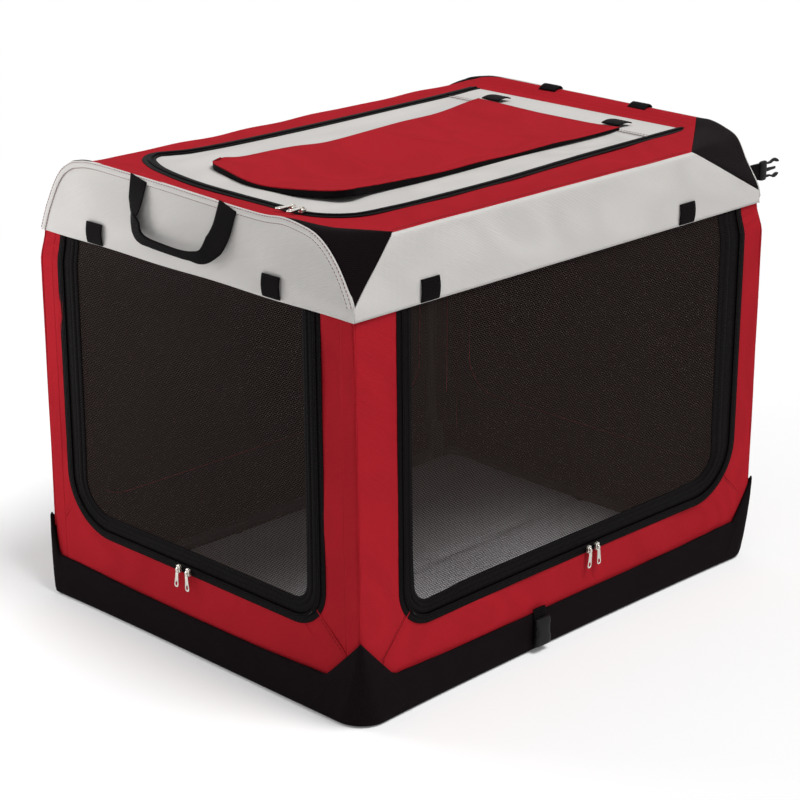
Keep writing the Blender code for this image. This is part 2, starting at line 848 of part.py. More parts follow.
def build_corner_patches(look, carrier):
    """Black patches over the roof's corners: straight lines from the end's curve to one point."""
    steps = end_curve_steps
    centre = (curve_centre_x, curve_centre_z)
    outer = arc(centre, (end_curve_width, end_curve_height), 0, pi / 2, steps)
    slim = (end_curve_width - patch_thickness, end_curve_height - patch_thickness)
    inner = arc(centre, slim, 0, pi / 2, steps)
    count = steps + 1
    apex_in = (band_outer_x - patch_thickness, roof_height - patch_thickness)
    for end, sy in (("front", -1), ("rear", 1)):
        for side, sx in (("left", -1), ("right", 1)):
            y = sy * patch_front_y
            tip = sy * patch_apex_y
            verts = [(sx * x, y, z) for x, z in outer] + [(sx * x, y, z) for x, z in inner]
            verts += [(sx * band_outer_x, tip, roof_height), (sx * apex_in[0], tip, apex_in[1])]
            top, low = 2 * count, 2 * count + 1
            faces = [(i, i + 1, top) for i in range(steps)]
            faces += [(count + i + 1, count + i, low) for i in range(steps)]
            faces += [(i + 1, i, count + i, count + i + 1) for i in range(steps)]
            faces += [(0, top, low, count), (top, steps, count + steps, low)]
            name = f"{end}_{side}_roof_patch"
            solid(name, look["black_fabric"], verts, faces, parent=carrier)


def build_hatch(look, carriers):
    """The grey hatch with its mesh window, and the red flap that covers the window."""
    edge = 2 * seam_gap
    rear = hatch_rear - sewn_gap
    radius = hatch_corner_radius - edge
    half = hatch_half_width - edge
    outline = rounded_box((-half, hatch_front + edge), (half, rear), (radius, radius, 0, 0))
    low = (-hatch_window_half_width, hatch_front + hatch_window_margin)
    high = (hatch_window_half_width, hatch_rear - hatch_window_rear_margin)
    hole = rounded_box(low, high, (hatch_window_corner,) * 4, small_arc_steps)
    prism(
        "hatch_panel", look["grey_fabric"], outline, roof_underside, roof_height, on_z,
        holes=[hole], parent=carriers["hatch"],
    )
    slim = seam_gap
    low = (low[0] + slim, low[1] + slim)
    high = (high[0] - slim, high[1] - slim)
    net = rounded_box(low, high, (hatch_window_corner - slim,) * 4, small_arc_steps)
    middle = (roof_underside + roof_height) / 2
    thin = mesh_thickness / 2
    prism(
        "hatch_mesh", look["net"], net, middle - thin, middle + thin, on_z,
        parent=carriers["hatch"],
    )
    flap = [
        (flap_corner_cut - flap_front_left, flap_front), (flap_front_right, flap_front),
        (flap_waist_right, flap_waist_along), (flap_rear_right, rear),
        (-flap_rear_left, rear), (-flap_front_left, flap_front + flap_corner_cut),
    ]
    foot = roof_height + sewn_gap
    prism(
        "hatch_flap", look["red_fabric"], flap, foot, foot + flap_thickness, on_z,
        parent=carriers["hatch_flap"],
    )


def build_runners(look, carrier):
    """Two plastic clips that turn on the rear hoop's bar and run along the roof's rails."""
    for side, way in (("left", -1), ("right", 1)):
        x = way * rail_offset
        foot = rear_bar_z - runner_bore_radius - runner_floor
        crown = rail_z + rail_height / 2 + runner_roof
        half_long = runner_length / 2
        low = (x - runner_width / 2, rear_pivot_y - half_long, foot)
        high = (x + runner_width / 2, rear_pivot_y + half_long, crown)
        name = f"{side}_roof_runner"
        clip = box(name, look["plastic"], low, high, (0, rear_pivot_y, rear_bar_z), carrier)
        bore = circle((rear_pivot_y, rear_bar_z), runner_bore_radius, runner_bore_sides)
        verts, faces = prism_data(bore, [], x - runner_width, x + runner_width, on_x)
        reach = rail_width / 2 + runner_rail_clearance
        tall = rail_height / 2 + runner_rail_clearance
        slot = rounded_box((x - reach, rail_z - tall), (x + reach, rail_z + tall), (0, 0, 0, 0))
        more, more_faces = prism_data(
            slot, [], rear_pivot_y - runner_length, rear_pivot_y + runner_length, on_y
        )
        shift = len(verts)
        verts += more
        faces += [tuple(i + shift for i in face) for face in more_faces]
        cutter = solid(name + "_cut", look["plastic"], verts, faces)
        combine(clip, cutter, "DIFFERENCE")


def build_handle(name, look, sign, carrier):
    """A hanging loop of webbing that tilts away from the band, its ends against the band."""
    drop, wide = handle_drop, handle_half_width
    inner_wide = wide - webbing_width
    inner_drop = drop - handle_bottom_width
    steps = small_arc_steps
    outer = rounded_box((-wide, -drop), (wide, 0), (handle_corner_radius,) * 2 + (0, 0), steps)
    low = (-inner_wide, -inner_drop)
    inner = rounded_box(low, (inner_wide, 0), (handle_inner_radius,) * 2 + (0, 0), steps)
    outline = outer[-1:] + outer[:-1] + list(reversed(inner[-1:] + inner[:-1]))

    def tilted(u, v, w):
        y = w * cos(handle_tilt) - v * sin(handle_tilt)
        z = w * sin(handle_tilt) + v * cos(handle_tilt)
        return (u, sign * (handle_pivot_y + y), handle_pivot_z + z)

    half = handle_thickness / 2
    origin = (0, sign * handle_pivot_y, handle_pivot_z)
    prism(name, look["webbing"], outline, -half, half, tilted, origin=origin, parent=carrier)


def slider_parts(name, look, frame, carrier):
    """A zip slider with its lug, and the pull that hangs from the lug.

    In the slider's own frame the zip runs along u, the pull hangs towards -v, and w stands
    off the tape."""
    half_l, half_h = slider_length / 2, slider_height / 2
    body = rounded_box(
        (-half_l, -half_h), (half_l, half_h), (slider_corner,) * 4, slider_arc_steps
    )
    lug_half = lug_length / 2
    lug_foot = lug_inset - half_h
    lug = rounded_box((-lug_half, lug_foot), (lug_half, lug_foot + lug_height), (0, 0, 0, 0))
    height = slider_depth
    top = height + lug_rise
    loops = [body, lug]
    ring = tessellate_polygon([[Vector((u, v, 0)) for u, v in loop] for loop in loops])
    back = tessellate_polygon([[Vector((u, v, 0)) for u, v in body]])
    m, n = len(body), len(lug)
    places = [(u, v, 0) for u, v in body] + [(u, v, height) for u, v in body]
    places += [(u, v, height) for u, v in lug] + [(u, v, top) for u, v in lug]
    faces = [tuple(c) for c in back] + [tuple(m + i for i in c) for c in ring]
    faces += [(i, (i + 1) % m, m + (i + 1) % m, m + i) for i in range(m)]
    base = 2 * m
    faces += [(base + i, base + (i + 1) % n, base + n + (i + 1) % n, base + n + i) for i in range(n)]
    faces.append(tuple(range(base + n, base + 2 * n)))
    verts = [frame(*place) for place in places]
    solid(name, look["zip_metal"], verts, faces, frame(0, 0, 0), carrier)
    head = lug_foot - pull_gap
    half_w = pull_width / 2
    plate = rounded_box(
        (-half_w, head - pull_length), (half_w, head), (pull_corner,) * 4, slider_arc_steps
    )
    slot_half = pull_slot_width / 2
    slot_low = head - pull_length + pull_slot_margin
    slot = rounded_box(
        (-slot_half, slot_low), (slot_half, slot_low + pull_slot_length),
        (pull_slot_corner,) * 4, slider_arc_steps,
    )
    low = height + pull_lift
    verts, faces = prism_data(plate, [slot], low, low + pull_thickness, frame)
    origin = frame(0, head, low + pull_thickness / 2)
    solid(name + "_pull", look["zip_metal"], verts, faces, origin, carrier)


def build_sliders(look, carriers):
    """Two zip sliders on each of the three zips, each with its pull."""
    front_face = -(wall_half_length + seam_gap + zip_tape_thickness + seam_gap)
    front_line = end_opening_sill - zip_tape_width / 2
    side_face = wall_half_width + seam_gap + zip_tape_thickness + seam_gap
    side_line = side_opening_sill - zip_tape_width / 2
    top_face = roof_height + seam_gap + zip_tape_thickness + seam_gap
    top_line = hatch_front - zip_tape_width / 2
    kinds = (
        ("front", front_slider_places, lambda at: (at, front_face, front_line),
         lambda u, v, w: (u, -w, v)),
        ("side", side_slider_places, lambda at: (side_face, at, side_line),
         lambda u, v, w: (w, u, v)),
        ("hatch", hatch_slider_places, lambda at: (at, top_line, top_face),
         lambda u, v, w: (u, v, w)),
    )
    for kind, places, seat, turn in kinds:
        for side, at in zip(("left", "right"), places):
            start = Vector(seat(at))

            def frame(u, v, w, start=start, turn=turn):
                return tuple(start + Vector(turn(u, v, w)))

            name = f"{kind}_{side}_slider"
            carrier = pivot(name + "_place", start, carriers[kind + "_zip"])
            slider_parts(name, look, frame, carrier)


def build_buckles(look, carriers):
    """The buckle's socket half hangs on the tray's right side and its plug half behind."""
    rim = tray_height - stub_below_rim
    seat = tray_outer_x + stub_wall_gap
    low = (seat, buckle_along - stub_width / 2, rim - stub_length)
    high = (seat + stub_thickness, buckle_along + stub_width / 2, rim)
    box("socket_strap", look["webbing"], low, high)
    face = seat + stub_thickness + seam_gap
    half = buckle_width / 2
    top = rim - stub_length / 2
    foot = top - buckle_length
    waist = half - buckle_mouth_height / 2
    outline = [
        (buckle_along - half, foot), (buckle_along + half, foot),
        (buckle_along + half, foot + buckle_length / 3),
        (buckle_along + waist, foot + buckle_length / 2),
        (buckle_along + half, top), (buckle_along - half, top),
        (buckle_along - waist, foot + buckle_length / 2),
        (buckle_along - half, foot + buckle_length / 3),
    ]
    socket = prism(
        "buckle_socket", look["plastic"], outline, face, face + buckle_depth, on_x,
        origin=(face, buckle_along, top), parent=carriers["buckle_socket"],
    )
    mid = face + buckle_depth / 2
    mouth = box(
        "buckle_mouth_cut", look["plastic"],
        (mid - buckle_mouth_height / 2, buckle_along - buckle_mouth_width / 2, foot - stub_length),
        (mid + buckle_mouth_height / 2, buckle_along + buckle_mouth_width / 2,
         foot + buckle_mouth_depth),
    )
    combine(socket, mouth, "DIFFERENCE")

    start = band_outer_y + stub_wall_gap
    thin = stub_thickness / 2
    box(
        "plug_strap", look["webbing"],
        (plug_across - thin, start, plug_height - stub_width / 2),
        (plug_across + thin, start + plug_stub_length, plug_height + stub_width / 2),
        parent=carriers["roof"],
    )
    root = start + plug_stub_length + seam_gap
    shoulder = root + plug_length - plug_prong_length
    tip = root + plug_length
    wide = plug_shoulder_width / 2
    prong = plug_prong_width
    outline = [
        (root, -wide), (shoulder, -wide), (tip - prong, -wide), (tip, prong - wide),
        (shoulder, prong - wide), (shoulder, -prong / 2), (tip - prong, -prong / 2),
        (tip - prong, prong / 2), (shoulder, prong / 2), (shoulder, wide - prong),
        (tip, wide - prong), (tip - prong, wide), (shoulder, wide), (root, wide),
    ]
    outline = [(y, plug_height + z) for y, z in outline]
    thick = plug_thickness / 2
    prism(
        "buckle_plug", look["plastic"], outline, plug_across - thick, plug_across + thick, on_x,
        origin=(plug_across - thick, root, plug_height), parent=carriers["buckle_plug"],
    )


def build_carriers():
    """Empties on the joints' axes; each carries the pieces of one moving body."""
    rear = pivot("rear_hoop_axis", (0, rear_pivot_y, rear_pivot_height))
    front = pivot("front_hoop_axis", (0, front_pivot_y, front_pivot_height))
    runner = pivot("roof_runner_axis", (0, rear_pivot_y, rear_bar_z), rear)
    roof = pivot("roof_slide", (0, 0, roof_height), runner)
    above_roof = roof_height + sewn_gap
    hatch = pivot("hatch_axis", (0, hatch_rear, above_roof), roof)
    flap = pivot("hatch_flap_axis", (0, hatch_rear, above_roof + flap_thickness), hatch)
    front_door = pivot("front_door_axis", (0, -wall_half_length, opening_head_height), front)
    right_door = pivot("right_door_axis", (wall_half_width, 0, opening_head_height))
    front_handle = pivot("front_handle_axis", (0, -handle_pivot_y, handle_pivot_z), roof)
    rear_handle = pivot("rear_handle_axis", (0, handle_pivot_y, handle_pivot_z), roof)
    socket_x = tray_outer_x + stub_wall_gap + stub_thickness + seam_gap
    socket_z = tray_height - stub_below_rim - stub_length / 2
    socket = pivot("buckle_socket_axis", (socket_x, buckle_along, socket_z))
    plug_root = band_outer_y + stub_wall_gap + plug_stub_length + seam_gap
    plug_axis = plug_across - plug_thickness / 2
    plug = pivot("buckle_plug_axis", (plug_axis, plug_root, plug_height), roof)
    side_zip = pivot("side_zip", (wall_half_width, 0, side_opening_sill))
    return {
        "rear_hoop": rear, "front_hoop": front, "roof_runner": runner, "roof": roof,
        "hatch": hatch, "hatch_flap": flap, "front_door": front_door,
        "right_door": right_door, "front_handle": front_handle, "rear_handle": rear_handle,
        "buckle_socket": socket, "buckle_plug": plug,
        "front_zip": front, "side_zip": side_zip, "hatch_zip": roof,
    }


def build_looks():
    """The finishes: woven fabrics, net, webbing, coated tube, plain steel, nickel and plastic."""
    return {
        "red_fabric": finish("red_fabric", (0.45, 0.022, 0.035), 0.85),
        "grey_fabric": finish("grey_fabric", (0.60, 0.58, 0.55), 0.85),
        "black_fabric": finish("black_fabric", (0.012, 0.011, 0.012), 0.85),
        "mat_fabric": finish("mat_fabric", (0.20, 0.19, 0.19), 0.90),
        "net": finish("net", (0.015, 0.014, 0.015), 0.70),
        "binding": finish("binding", (0.010, 0.010, 0.011), 0.80),
        "zip_tape": finish("zip_tape", (0.010, 0.010, 0.011), 0.75),
        "webbing": finish("webbing", (0.011, 0.010, 0.011), 0.80),
        "tube": finish("tube", (0.020, 0.020, 0.022), 0.45),
        "steel": finish("steel", (0.50, 0.50, 0.50), 0.35, 1.0),
        "zip_metal": finish("zip_metal", (0.62, 0.60, 0.56), 0.28, 1.0),
        "plastic": finish("plastic", (0.012, 0.012, 0.013), 0.50),
        "board": finish("board", (0.10, 0.08, 0.06), 0.80),
    }


def main():
    start_empty_scene()
    look = build_looks()
    carriers = build_carriers()
    build_base(look)
    build_brackets(look)
    build_hoop(
        "front_hoop", look, front_hoop_half_width, front_pivot_y, front_pivot_height,
        front_bar_z, carriers["front_hoop"],
    )
    build_hoop(
        "rear_hoop", look, base_frame_x, rear_pivot_y, rear_pivot_height, rear_bar_z,
        carriers["rear_hoop"],
    )
    build_walls(look, carriers)
    build_roof(look, carriers["roof"])
    build_bands(look, carriers["roof"])
    build_corner_patches(look, carriers["roof"])
    build_hatch(look, carriers)
    build_runners(look, carriers["roof_runner"])
    build_handle("front_handle", look, -1, carriers["front_handle"])
    build_handle("rear_handle", look, 1, carriers["rear_handle"])
    build_sliders(look, carriers)
    build_buckles(look, carriers)


main()
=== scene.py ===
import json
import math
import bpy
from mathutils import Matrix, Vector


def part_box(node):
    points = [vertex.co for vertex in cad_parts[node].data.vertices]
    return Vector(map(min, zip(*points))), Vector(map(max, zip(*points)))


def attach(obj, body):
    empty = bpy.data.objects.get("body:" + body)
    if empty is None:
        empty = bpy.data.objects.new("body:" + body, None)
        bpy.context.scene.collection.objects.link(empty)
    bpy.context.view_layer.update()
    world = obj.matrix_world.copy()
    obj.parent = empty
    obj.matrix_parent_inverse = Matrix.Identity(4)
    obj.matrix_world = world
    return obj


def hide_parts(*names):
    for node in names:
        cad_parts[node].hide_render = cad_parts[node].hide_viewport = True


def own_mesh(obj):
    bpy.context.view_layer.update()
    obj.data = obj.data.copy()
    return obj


bl_info = {
    "name": "Soft folding dog crate",
    "version": (1, 0, 0),
    "blender": (4, 5, 0),
    "location": "3D View > Sidebar > Dog Crate",
    "description": "Fabric, net, zips, webbing and stage for a soft folding dog crate",
    "category": "Object",
}

import bmesh
import bpy
import numpy as np
from bpy.props import FloatProperty, FloatVectorProperty, PointerProperty
from mathutils import Vector

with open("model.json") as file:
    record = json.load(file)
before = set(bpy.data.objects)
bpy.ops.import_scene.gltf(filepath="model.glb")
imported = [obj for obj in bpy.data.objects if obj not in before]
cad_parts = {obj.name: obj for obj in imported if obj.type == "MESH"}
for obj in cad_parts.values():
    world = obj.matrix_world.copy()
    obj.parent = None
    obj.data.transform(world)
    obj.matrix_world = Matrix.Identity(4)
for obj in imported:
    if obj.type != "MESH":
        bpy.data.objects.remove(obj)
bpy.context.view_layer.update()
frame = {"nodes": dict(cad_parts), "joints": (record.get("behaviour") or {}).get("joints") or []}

# Places read from the frame, in metres
(_, _, wall_foot), (wall_x, _, wall_head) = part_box("right_wall")
(_, wall_front, front_foot), (front_seam, _, front_head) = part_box("front_wall")
(_, band_front, band_foot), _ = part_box("front_band")
(_, patch_low, _), (_, patch_high, _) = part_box("front_right_roof_patch")
wall_y, band_y, patch_front, patch_apex = -wall_front, -band_front, -patch_low, -patch_high
tray_x, tray_y, tray_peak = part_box("base_tray")[1]
roof_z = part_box("roof_panel")[1][2]
band_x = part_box("right_band")[1][0]
flap_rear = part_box("hatch_flap")[1][1]
front_door_low, front_door_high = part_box("front_door_binding")
side_door_low, side_door_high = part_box("right_door_binding")
left_window_low, left_window_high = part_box("left_window_mesh")
rear_window_low, rear_window_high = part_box("rear_window_mesh")
mat_low, mat_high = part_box("floor_mat")

# Where the photograph has the hatch's rear seam and the end of the strip behind it, along Y
hatch_rear = 0.2745
strip_rear = 0.3490
# The roof's corner patches: how far from the middle they start, and the roof's left shoulder
patch_start = 0.188
shoulder_start, shoulder_run = 0.235, 0.072
# How wide the handles' and the buckle's webbing is
handle_width, buckle_width = 0.033, 0.025
# How thick the cloth of the bands and the hatch is, and that of the patches and the flap
thin_cloth, light_cloth = 0.0018, 0.0014
# How far outside its opening a door's zip runs
seam_gap = 0.0006
quarter_turn, full_turn = math.pi / 2, 2 * math.pi
corners = [(sx, sy) for sx in (-1, 1) for sy in (-1, 1)]


def linear(code):
    """An sRGB hex colour as linear red, green, blue and one."""
    parts = np.array([int(code[i : i + 2], 16) / 255 for i in (1, 3, 5)])
    lin = np.where(parts <= 0.04045, parts / 12.92, ((parts + 0.055) / 1.055) ** 2.4)
    return (*[float(c) for c in lin], 1.0)


def length(name, description, default):
    return FloatProperty(name=name, description=description, default=default, unit="LENGTH",
                         precision=4)


def colour(name, description, code):
    return FloatVectorProperty(name=name, description=description, default=linear(code),
                               subtype="COLOR", size=4, min=0, max=1)


class CrateSizes(bpy.types.PropertyGroup):
    """Sizes of the cloth pieces."""

    cloth: length("Cloth", "Thickness of the walls and the roof", 0.0022)
    wall_corner: length("Wall corner", "Radius of the crate's upright edges", 0.005)
    foot_corner: length("Foot corner", "Radius of the worn near corner on the floor", 0.045)
    far_corner: length("Far corner", "Radius of the other corners on the floor", 0.037)
    tray_rim: length("Tray rim", "Height of the tray between its corners", 0.0565)
    tray_climb: length("Tray climb", "How far the rim climbs towards its corners", 0.007)
    tray_reach: length("Tray reach", "How far each corner piece runs along a side", 0.050)
    tray_wall: length("Tray wall", "Thickness of the tray's padded side", 0.004)
    wave: length("Wave", "Depth of the cloth's slack waves", 0.0014)
    tight_corner: length("Tight corner", "Radius of the doors' tighter corners", 0.049)
    wide_corner: length("Wide corner", "Radius of the doors' wider corners", 0.075)
    window_corner: length("Window corner", "Radius of the windows' corners", 0.058)
    tape: length("Zip tape", "Width of a zip's sewn tape", 0.0105)
    coil: length("Zip coil", "Radius of half of a zip's coil", 0.0012)
    binding: length("Binding", "Width of the binding round a door", 0.0255)
    seam_strip: length("Seam strip", "Width of the strip over the end bands' edge", 0.009)
    shoulder: length("Shoulder", "How far the roof sinks at its left edge", 0.029)
    lip: length("Lip", "How far back the roof rises towards its front edge", 0.028)
    webbing: length("Webbing", "Thickness of the webbing", 0.0022)
    tab_width: length("Tab width", "Width of the holding tabs", 0.033)
    tab_height: length("Tab height", "Height of the holding tabs", 0.029)
    stitch: length("Stitch", "Length of one stitch", 0.0034)
    stitch_gap: length("Stitch gap", "Gap between two stitches", 0.0016)
    thread: length("Thread", "Thickness of the sewing thread", 0.0007)
    net_length: length("Net length", "Length of one hole of the net", 0.0045)
    net_row: length("Net row", "Height of one row of the net's holes", 0.0026)


class CrateColours(bpy.types.PropertyGroup):
    """Colours of the cloth, trim and fittings."""

    red: colour("Red", "Red polyester", "#AD212B")
    grey: colour("Grey", "Pale grey polyester", "#D0CDCA")
    black: colour("Black", "Black coated polyester", "#130D0F")
    lining: colour("Lining", "Coated inner side of the cloth", "#100C0D")
    webbing: colour("Webbing", "Black webbing and tape", "#0E0B0C")
    # The net is black: this brown is a painted highlight, the shine that light gives its threads
    net: colour("Net", "Black knitted net, whose threads shine brown", "#332926")
    close_net: colour("Close net", "Black net of the windows", "#0D0A0B")
    mat: colour("Mat", "Grey brushed polyester of the mat", "#E2E0E3")
    red_thread: colour("Red thread", "Dark red sewing thread", "#6F2128")
    nickel: colour("Nickel", "Nickel-plated zip sliders", "#CFCBC4")
    plastic: colour("Plastic", "Moulded black buckles", "#121113")
    tube: colour("Tube", "Powder-coated steel tube", "#2B2B2E")
    zinc: colour("Zinc", "Zinc-plated steel", "#B9BBBD")
    floor: colour("Floor", "Studio floor", "#F2F2F2")


def sizes():
    return bpy.context.scene.crate_sizes


# Shapes in numbers


def facing(turn):
    """Puts places along, up and off a face of the crate into the crate's own axes."""
    return lambda u, v, d: np.stack(np.broadcast_arrays(*turn(u, v, d)), -1)


to_front = facing(lambda u, v, d: (u, -d, v))
to_rear = facing(lambda u, v, d: (-u, d, v))
to_right = facing(lambda u, v, d: (d, u, v))
to_left = facing(lambda u, v, d: (-d, -u, v))
to_top = facing(lambda u, v, d: (u, v, d))


def unit(vectors):
    return vectors / np.linalg.norm(vectors, axis=-1, keepdims=True)


def circle(turn):
    """Unit vectors at the given angles: their cosines and sines."""
    return np.stack([np.cos(turn), np.sin(turn)], -1)


def run_of(line):
    """How far along a line each of its points is."""
    steps = np.linalg.norm(np.diff(line, axis=0), axis=1)
    return np.concatenate([[0], np.cumsum(np.maximum(steps, 1e-9))])


def at_run(line, at):
    """A line's points at given ways along it: each coordinate is a function of the way run."""
    way = run_of(line)
    return np.stack([np.interp(at, way, part) for part in line.T], -1)


def spread(points, count, closed=False):
    """A line's points taken again at even steps."""
    line = np.concatenate([points, points[:1]]) if closed else points
    return at_run(line, np.linspace(0, run_of(line)[-1], count + closed)[:count])


def round_corners(low, high, radii, steps=20):
    """A rectangle's outline, anticlockwise from the lower left: each corner is a quarter circle."""
    parts = []
    for i, radius in enumerate(radii):
        inward = np.array([(1, 1), (-1, 1), (-1, -1), (1, -1)][i])
        turn = math.pi * (1 + i / 2) + np.linspace(0, quarter_turn, steps)
        parts.append(np.where(inward > 0, low, high) + inward * radius + radius * circle(turn))
    return np.concatenate(parts)


def door_line(middle, half, sill, head, radii, count):
    """An opening's free edge: from its head on the left, round the sill, to that on the right."""
    outline = round_corners((middle - half, sill), (middle + half, head), (*radii, 1e-5, 1e-5))
    return spread(np.concatenate([outline[-1:], outline[: len(outline) // 2 + 1]]), count)


def ring_between(inner, outer, rows):
    """A grid between two closed outlines: row by row, straight out from the inner one's middle.

    At each angle a point's distance from the middle runs evenly from the inner outline's to the
    outer one's. The angles are those of the inner points and the outer corners."""
    middle = (inner.min(0) + inner.max(0)) / 2

    def polar(points):
        arms = points - middle
        return np.arctan2(arms[:, 1], arms[:, 0]), np.linalg.norm(arms, axis=1)

    def reach(points, at):
        angle, radius = polar(spread(points, 4000, True))
        order = np.argsort(angle)
        return np.interp(at, angle[order], radius[order], period=full_turn)

    at = np.unique(np.round(np.concatenate([polar(inner)[0], polar(outer)[0]]), 5))
    near, far = reach(inner, at), reach(outer, at)
    share = np.linspace(0, 1, rows)[None, :]
    radius = near[:, None] + (far - near)[:, None] * share
    return middle + circle(at)[:, None, :] * radius[..., None], share


def slack(u, v, seed, depth):
    """Slack cloth: a sum of eight sine waves, 90 to 400 mm long, of seeded direction and phase."""
    rng = np.random.default_rng(seed)
    total = np.zeros(np.broadcast(u, v).shape)
    for _ in range(8):
        wavelength, angle, phase = rng.uniform((0.09, 0, 0), (0.4, math.pi, full_turn))
        way = u * math.cos(angle) + v * math.sin(angle)
        total += np.sin(full_turn * way / wavelength + phase)
    return depth * total / math.sqrt(8)


def hump(share, power):
    """From nothing to one and back: a power of the sine of half a turn."""
    return np.sin(math.pi * np.clip(share, 0, 1)) ** power


def superellipse(half_u, half_v, power, count):
    """A closed ring: the cosine and sine of the angle, raised to two over the power."""
    round_way = circle(np.linspace(0, full_turn, count, endpoint=False))
    return np.sign(round_way) * np.abs(round_way) ** (2 / power) * np.array([half_u, half_v])


def in_plane_normal(path):
    """Unit vectors to the right of a flat path's direction."""
    along = unit(np.gradient(path, axis=0))
    return np.stack([along[:, 1], -along[:, 0]], -1)


def swept(path, side, profile, place, base):
    """A profile carried along a path on a wall: its first number moves along the vectors to the
    path's side, its second off the wall."""
    flat = path[:, None, :] + side[:, None, :] * profile[None, :, :1]
    return place(flat[..., 0], flat[..., 1], base + profile[None, :, 1])


def rings_along(path, across, off, ring):
    """One ring at each point of a path, laid out along two vectors of that point."""
    return path[:, None] + across[:, None] * ring[..., :1] + off[:, None] * ring[..., 1:]


def strap_grid(path, across, width, thickness, power=5, count=20):
    """Flat webbing along a path in space: a superellipse across it, turned with the path."""
    across = np.broadcast_to(np.asarray(across, float), path.shape)
    off = unit(np.cross(unit(np.gradient(path, axis=0)), across))
    wide = np.stack([np.broadcast_to(k, len(path)) for k in (width, thickness)], -1)[:, None]
    return rings_along(path, across, off, superellipse(0.5, 0.5, power, count) * wide)


def capped(grid):
    """The grid with its first and last rows drawn together to their middles."""
    first, last = (np.repeat(row.mean(1, keepdims=True), grid.shape[1], 1)
                   for row in (grid[:1], grid[-1:]))
    return np.concatenate([first, grid, last])


def smooth_path(points, count):
    """A rounded line through given points: a Catmull-Rom cubic between each pair."""
    points = np.asarray(points, float)
    ends = np.concatenate([2 * points[:1] - points[1:2], points, 2 * points[-1:] - points[-2:-1]])
    at = np.linspace(0, len(points) - 1 - 1e-9, count)
    i = at.astype(int)
    t = (at - i)[:, None]
    a, b, c, d = (ends[i + k] for k in range(4))
    return 0.5 * (2 * b + (c - a) * t + (2 * a - 5 * b + 4 * c - d) * t**2
                  + (3 * b - a - 3 * c + d) * t**3)


def flat_uv(grid):
    """Lengths along and across a carried profile, in metres."""
    along = np.linalg.norm(np.diff(grid.mean(1), axis=0), axis=1)
    along = np.concatenate([[0], np.cumsum(along)])
    across = np.cumsum(np.linalg.norm(np.diff(grid, axis=1), axis=2), 1)
    across = np.concatenate([np.zeros((len(grid), 1)), across], 1)
    return np.stack([np.broadcast_to(along[:, None], across.shape), across], -1)


# Meshes and pieces

looks = {}
slots = {"red": "red_fabric", "grey": "grey_fabric", "black": "black_fabric", "net": "net",
         "close_net": "net", "zip": "zip_tape", "webbing": "webbing", "tube": "tube",
         "nickel": "zip_metal", "plastic": "plastic"}


def show(name, data):
    """An object for a mesh, a lamp or a camera, linked to the scene."""
    thing = bpy.data.objects.new(name, data)
    bpy.context.collection.objects.link(thing)
    return thing


def places(mesh):
    """A mesh's points, three numbers to a row."""
    flat = np.empty(len(mesh.vertices) * 3)
    mesh.vertices.foreach_get("co", flat)
    return flat.reshape(-1, 3)


def move_to(mesh, points):
    mesh.vertices.foreach_set("co", points.ravel())
    mesh.update()


def grid_mesh(name, grid, around=False, flip=False, closed=False, weld=False, uv=None):
    """A mesh over a grid. It is joined round where asked. A closed one is joined across too, and
    turned outwards by the sign of its volume."""
    rows, cols = grid.shape[:2]
    i = np.arange(rows if around else rows - 1)[:, None]
    j = np.arange(cols if closed else cols - 1)[None, :]
    ni, nj = (i + 1) % rows, (j + 1) % cols
    quads = np.stack([i * cols + j, ni * cols + j, ni * cols + nj, i * cols + nj], -1)
    quads = quads.reshape(-1, 4)
    points = grid.reshape(-1, 3)
    if closed:
        a, b, c, d = (points[quads[:, k]] for k in range(4))
        flip = (a * (np.cross(b, c) + np.cross(c, d))).sum() < 0
    if flip:
        quads = quads[:, ::-1]
    mesh = bpy.data.meshes.new(name)
    mesh.from_pydata(points.tolist(), [], quads.tolist())
    if uv is not None:
        layer = mesh.uv_layers.new(name="cloth")
        layer.uv.foreach_set("vector", uv.reshape(-1, 2)[quads.ravel()].ravel())
    if closed or weld:
        work = bmesh.new()
        work.from_mesh(mesh)
        bmesh.ops.remove_doubles(work, verts=work.verts, dist=1e-6)
        work.to_mesh(mesh)
        work.free()
    mesh.shade_smooth()
    return mesh


def lean_out(mesh):
    """Stands the walls as the slack frame holds them: below the bands a point near an upright
    edge moves by that edge's own offset, weighted by the fifth power of its nearness."""
    place = places(mesh)
    x, y, z = place.T.copy()
    below = np.clip((band_foot - z) / 0.045, 0, 1)
    below = below * below * (3 - 2 * below)
    low = np.clip((band_foot - z) / band_foot, 0, 1)
    for sx, sy, move, share in ((-1, -1, (-0.0055, -0.0055), below), (1, 1, (0.007, 0.007), below),
                                (1, -1, (0.0095, 0.0015), low)):
        near = np.clip((1 + sx * x / wall_x) / 2, 0, 1) * np.clip((1 + sy * y / wall_y) / 2, 0, 1)
        place[:, :2] += (near**5 * share)[:, None] * np.array(move)
    move_to(mesh, place)


def sheet_area(mesh):
    return sum(face.area for face in mesh.polygons)


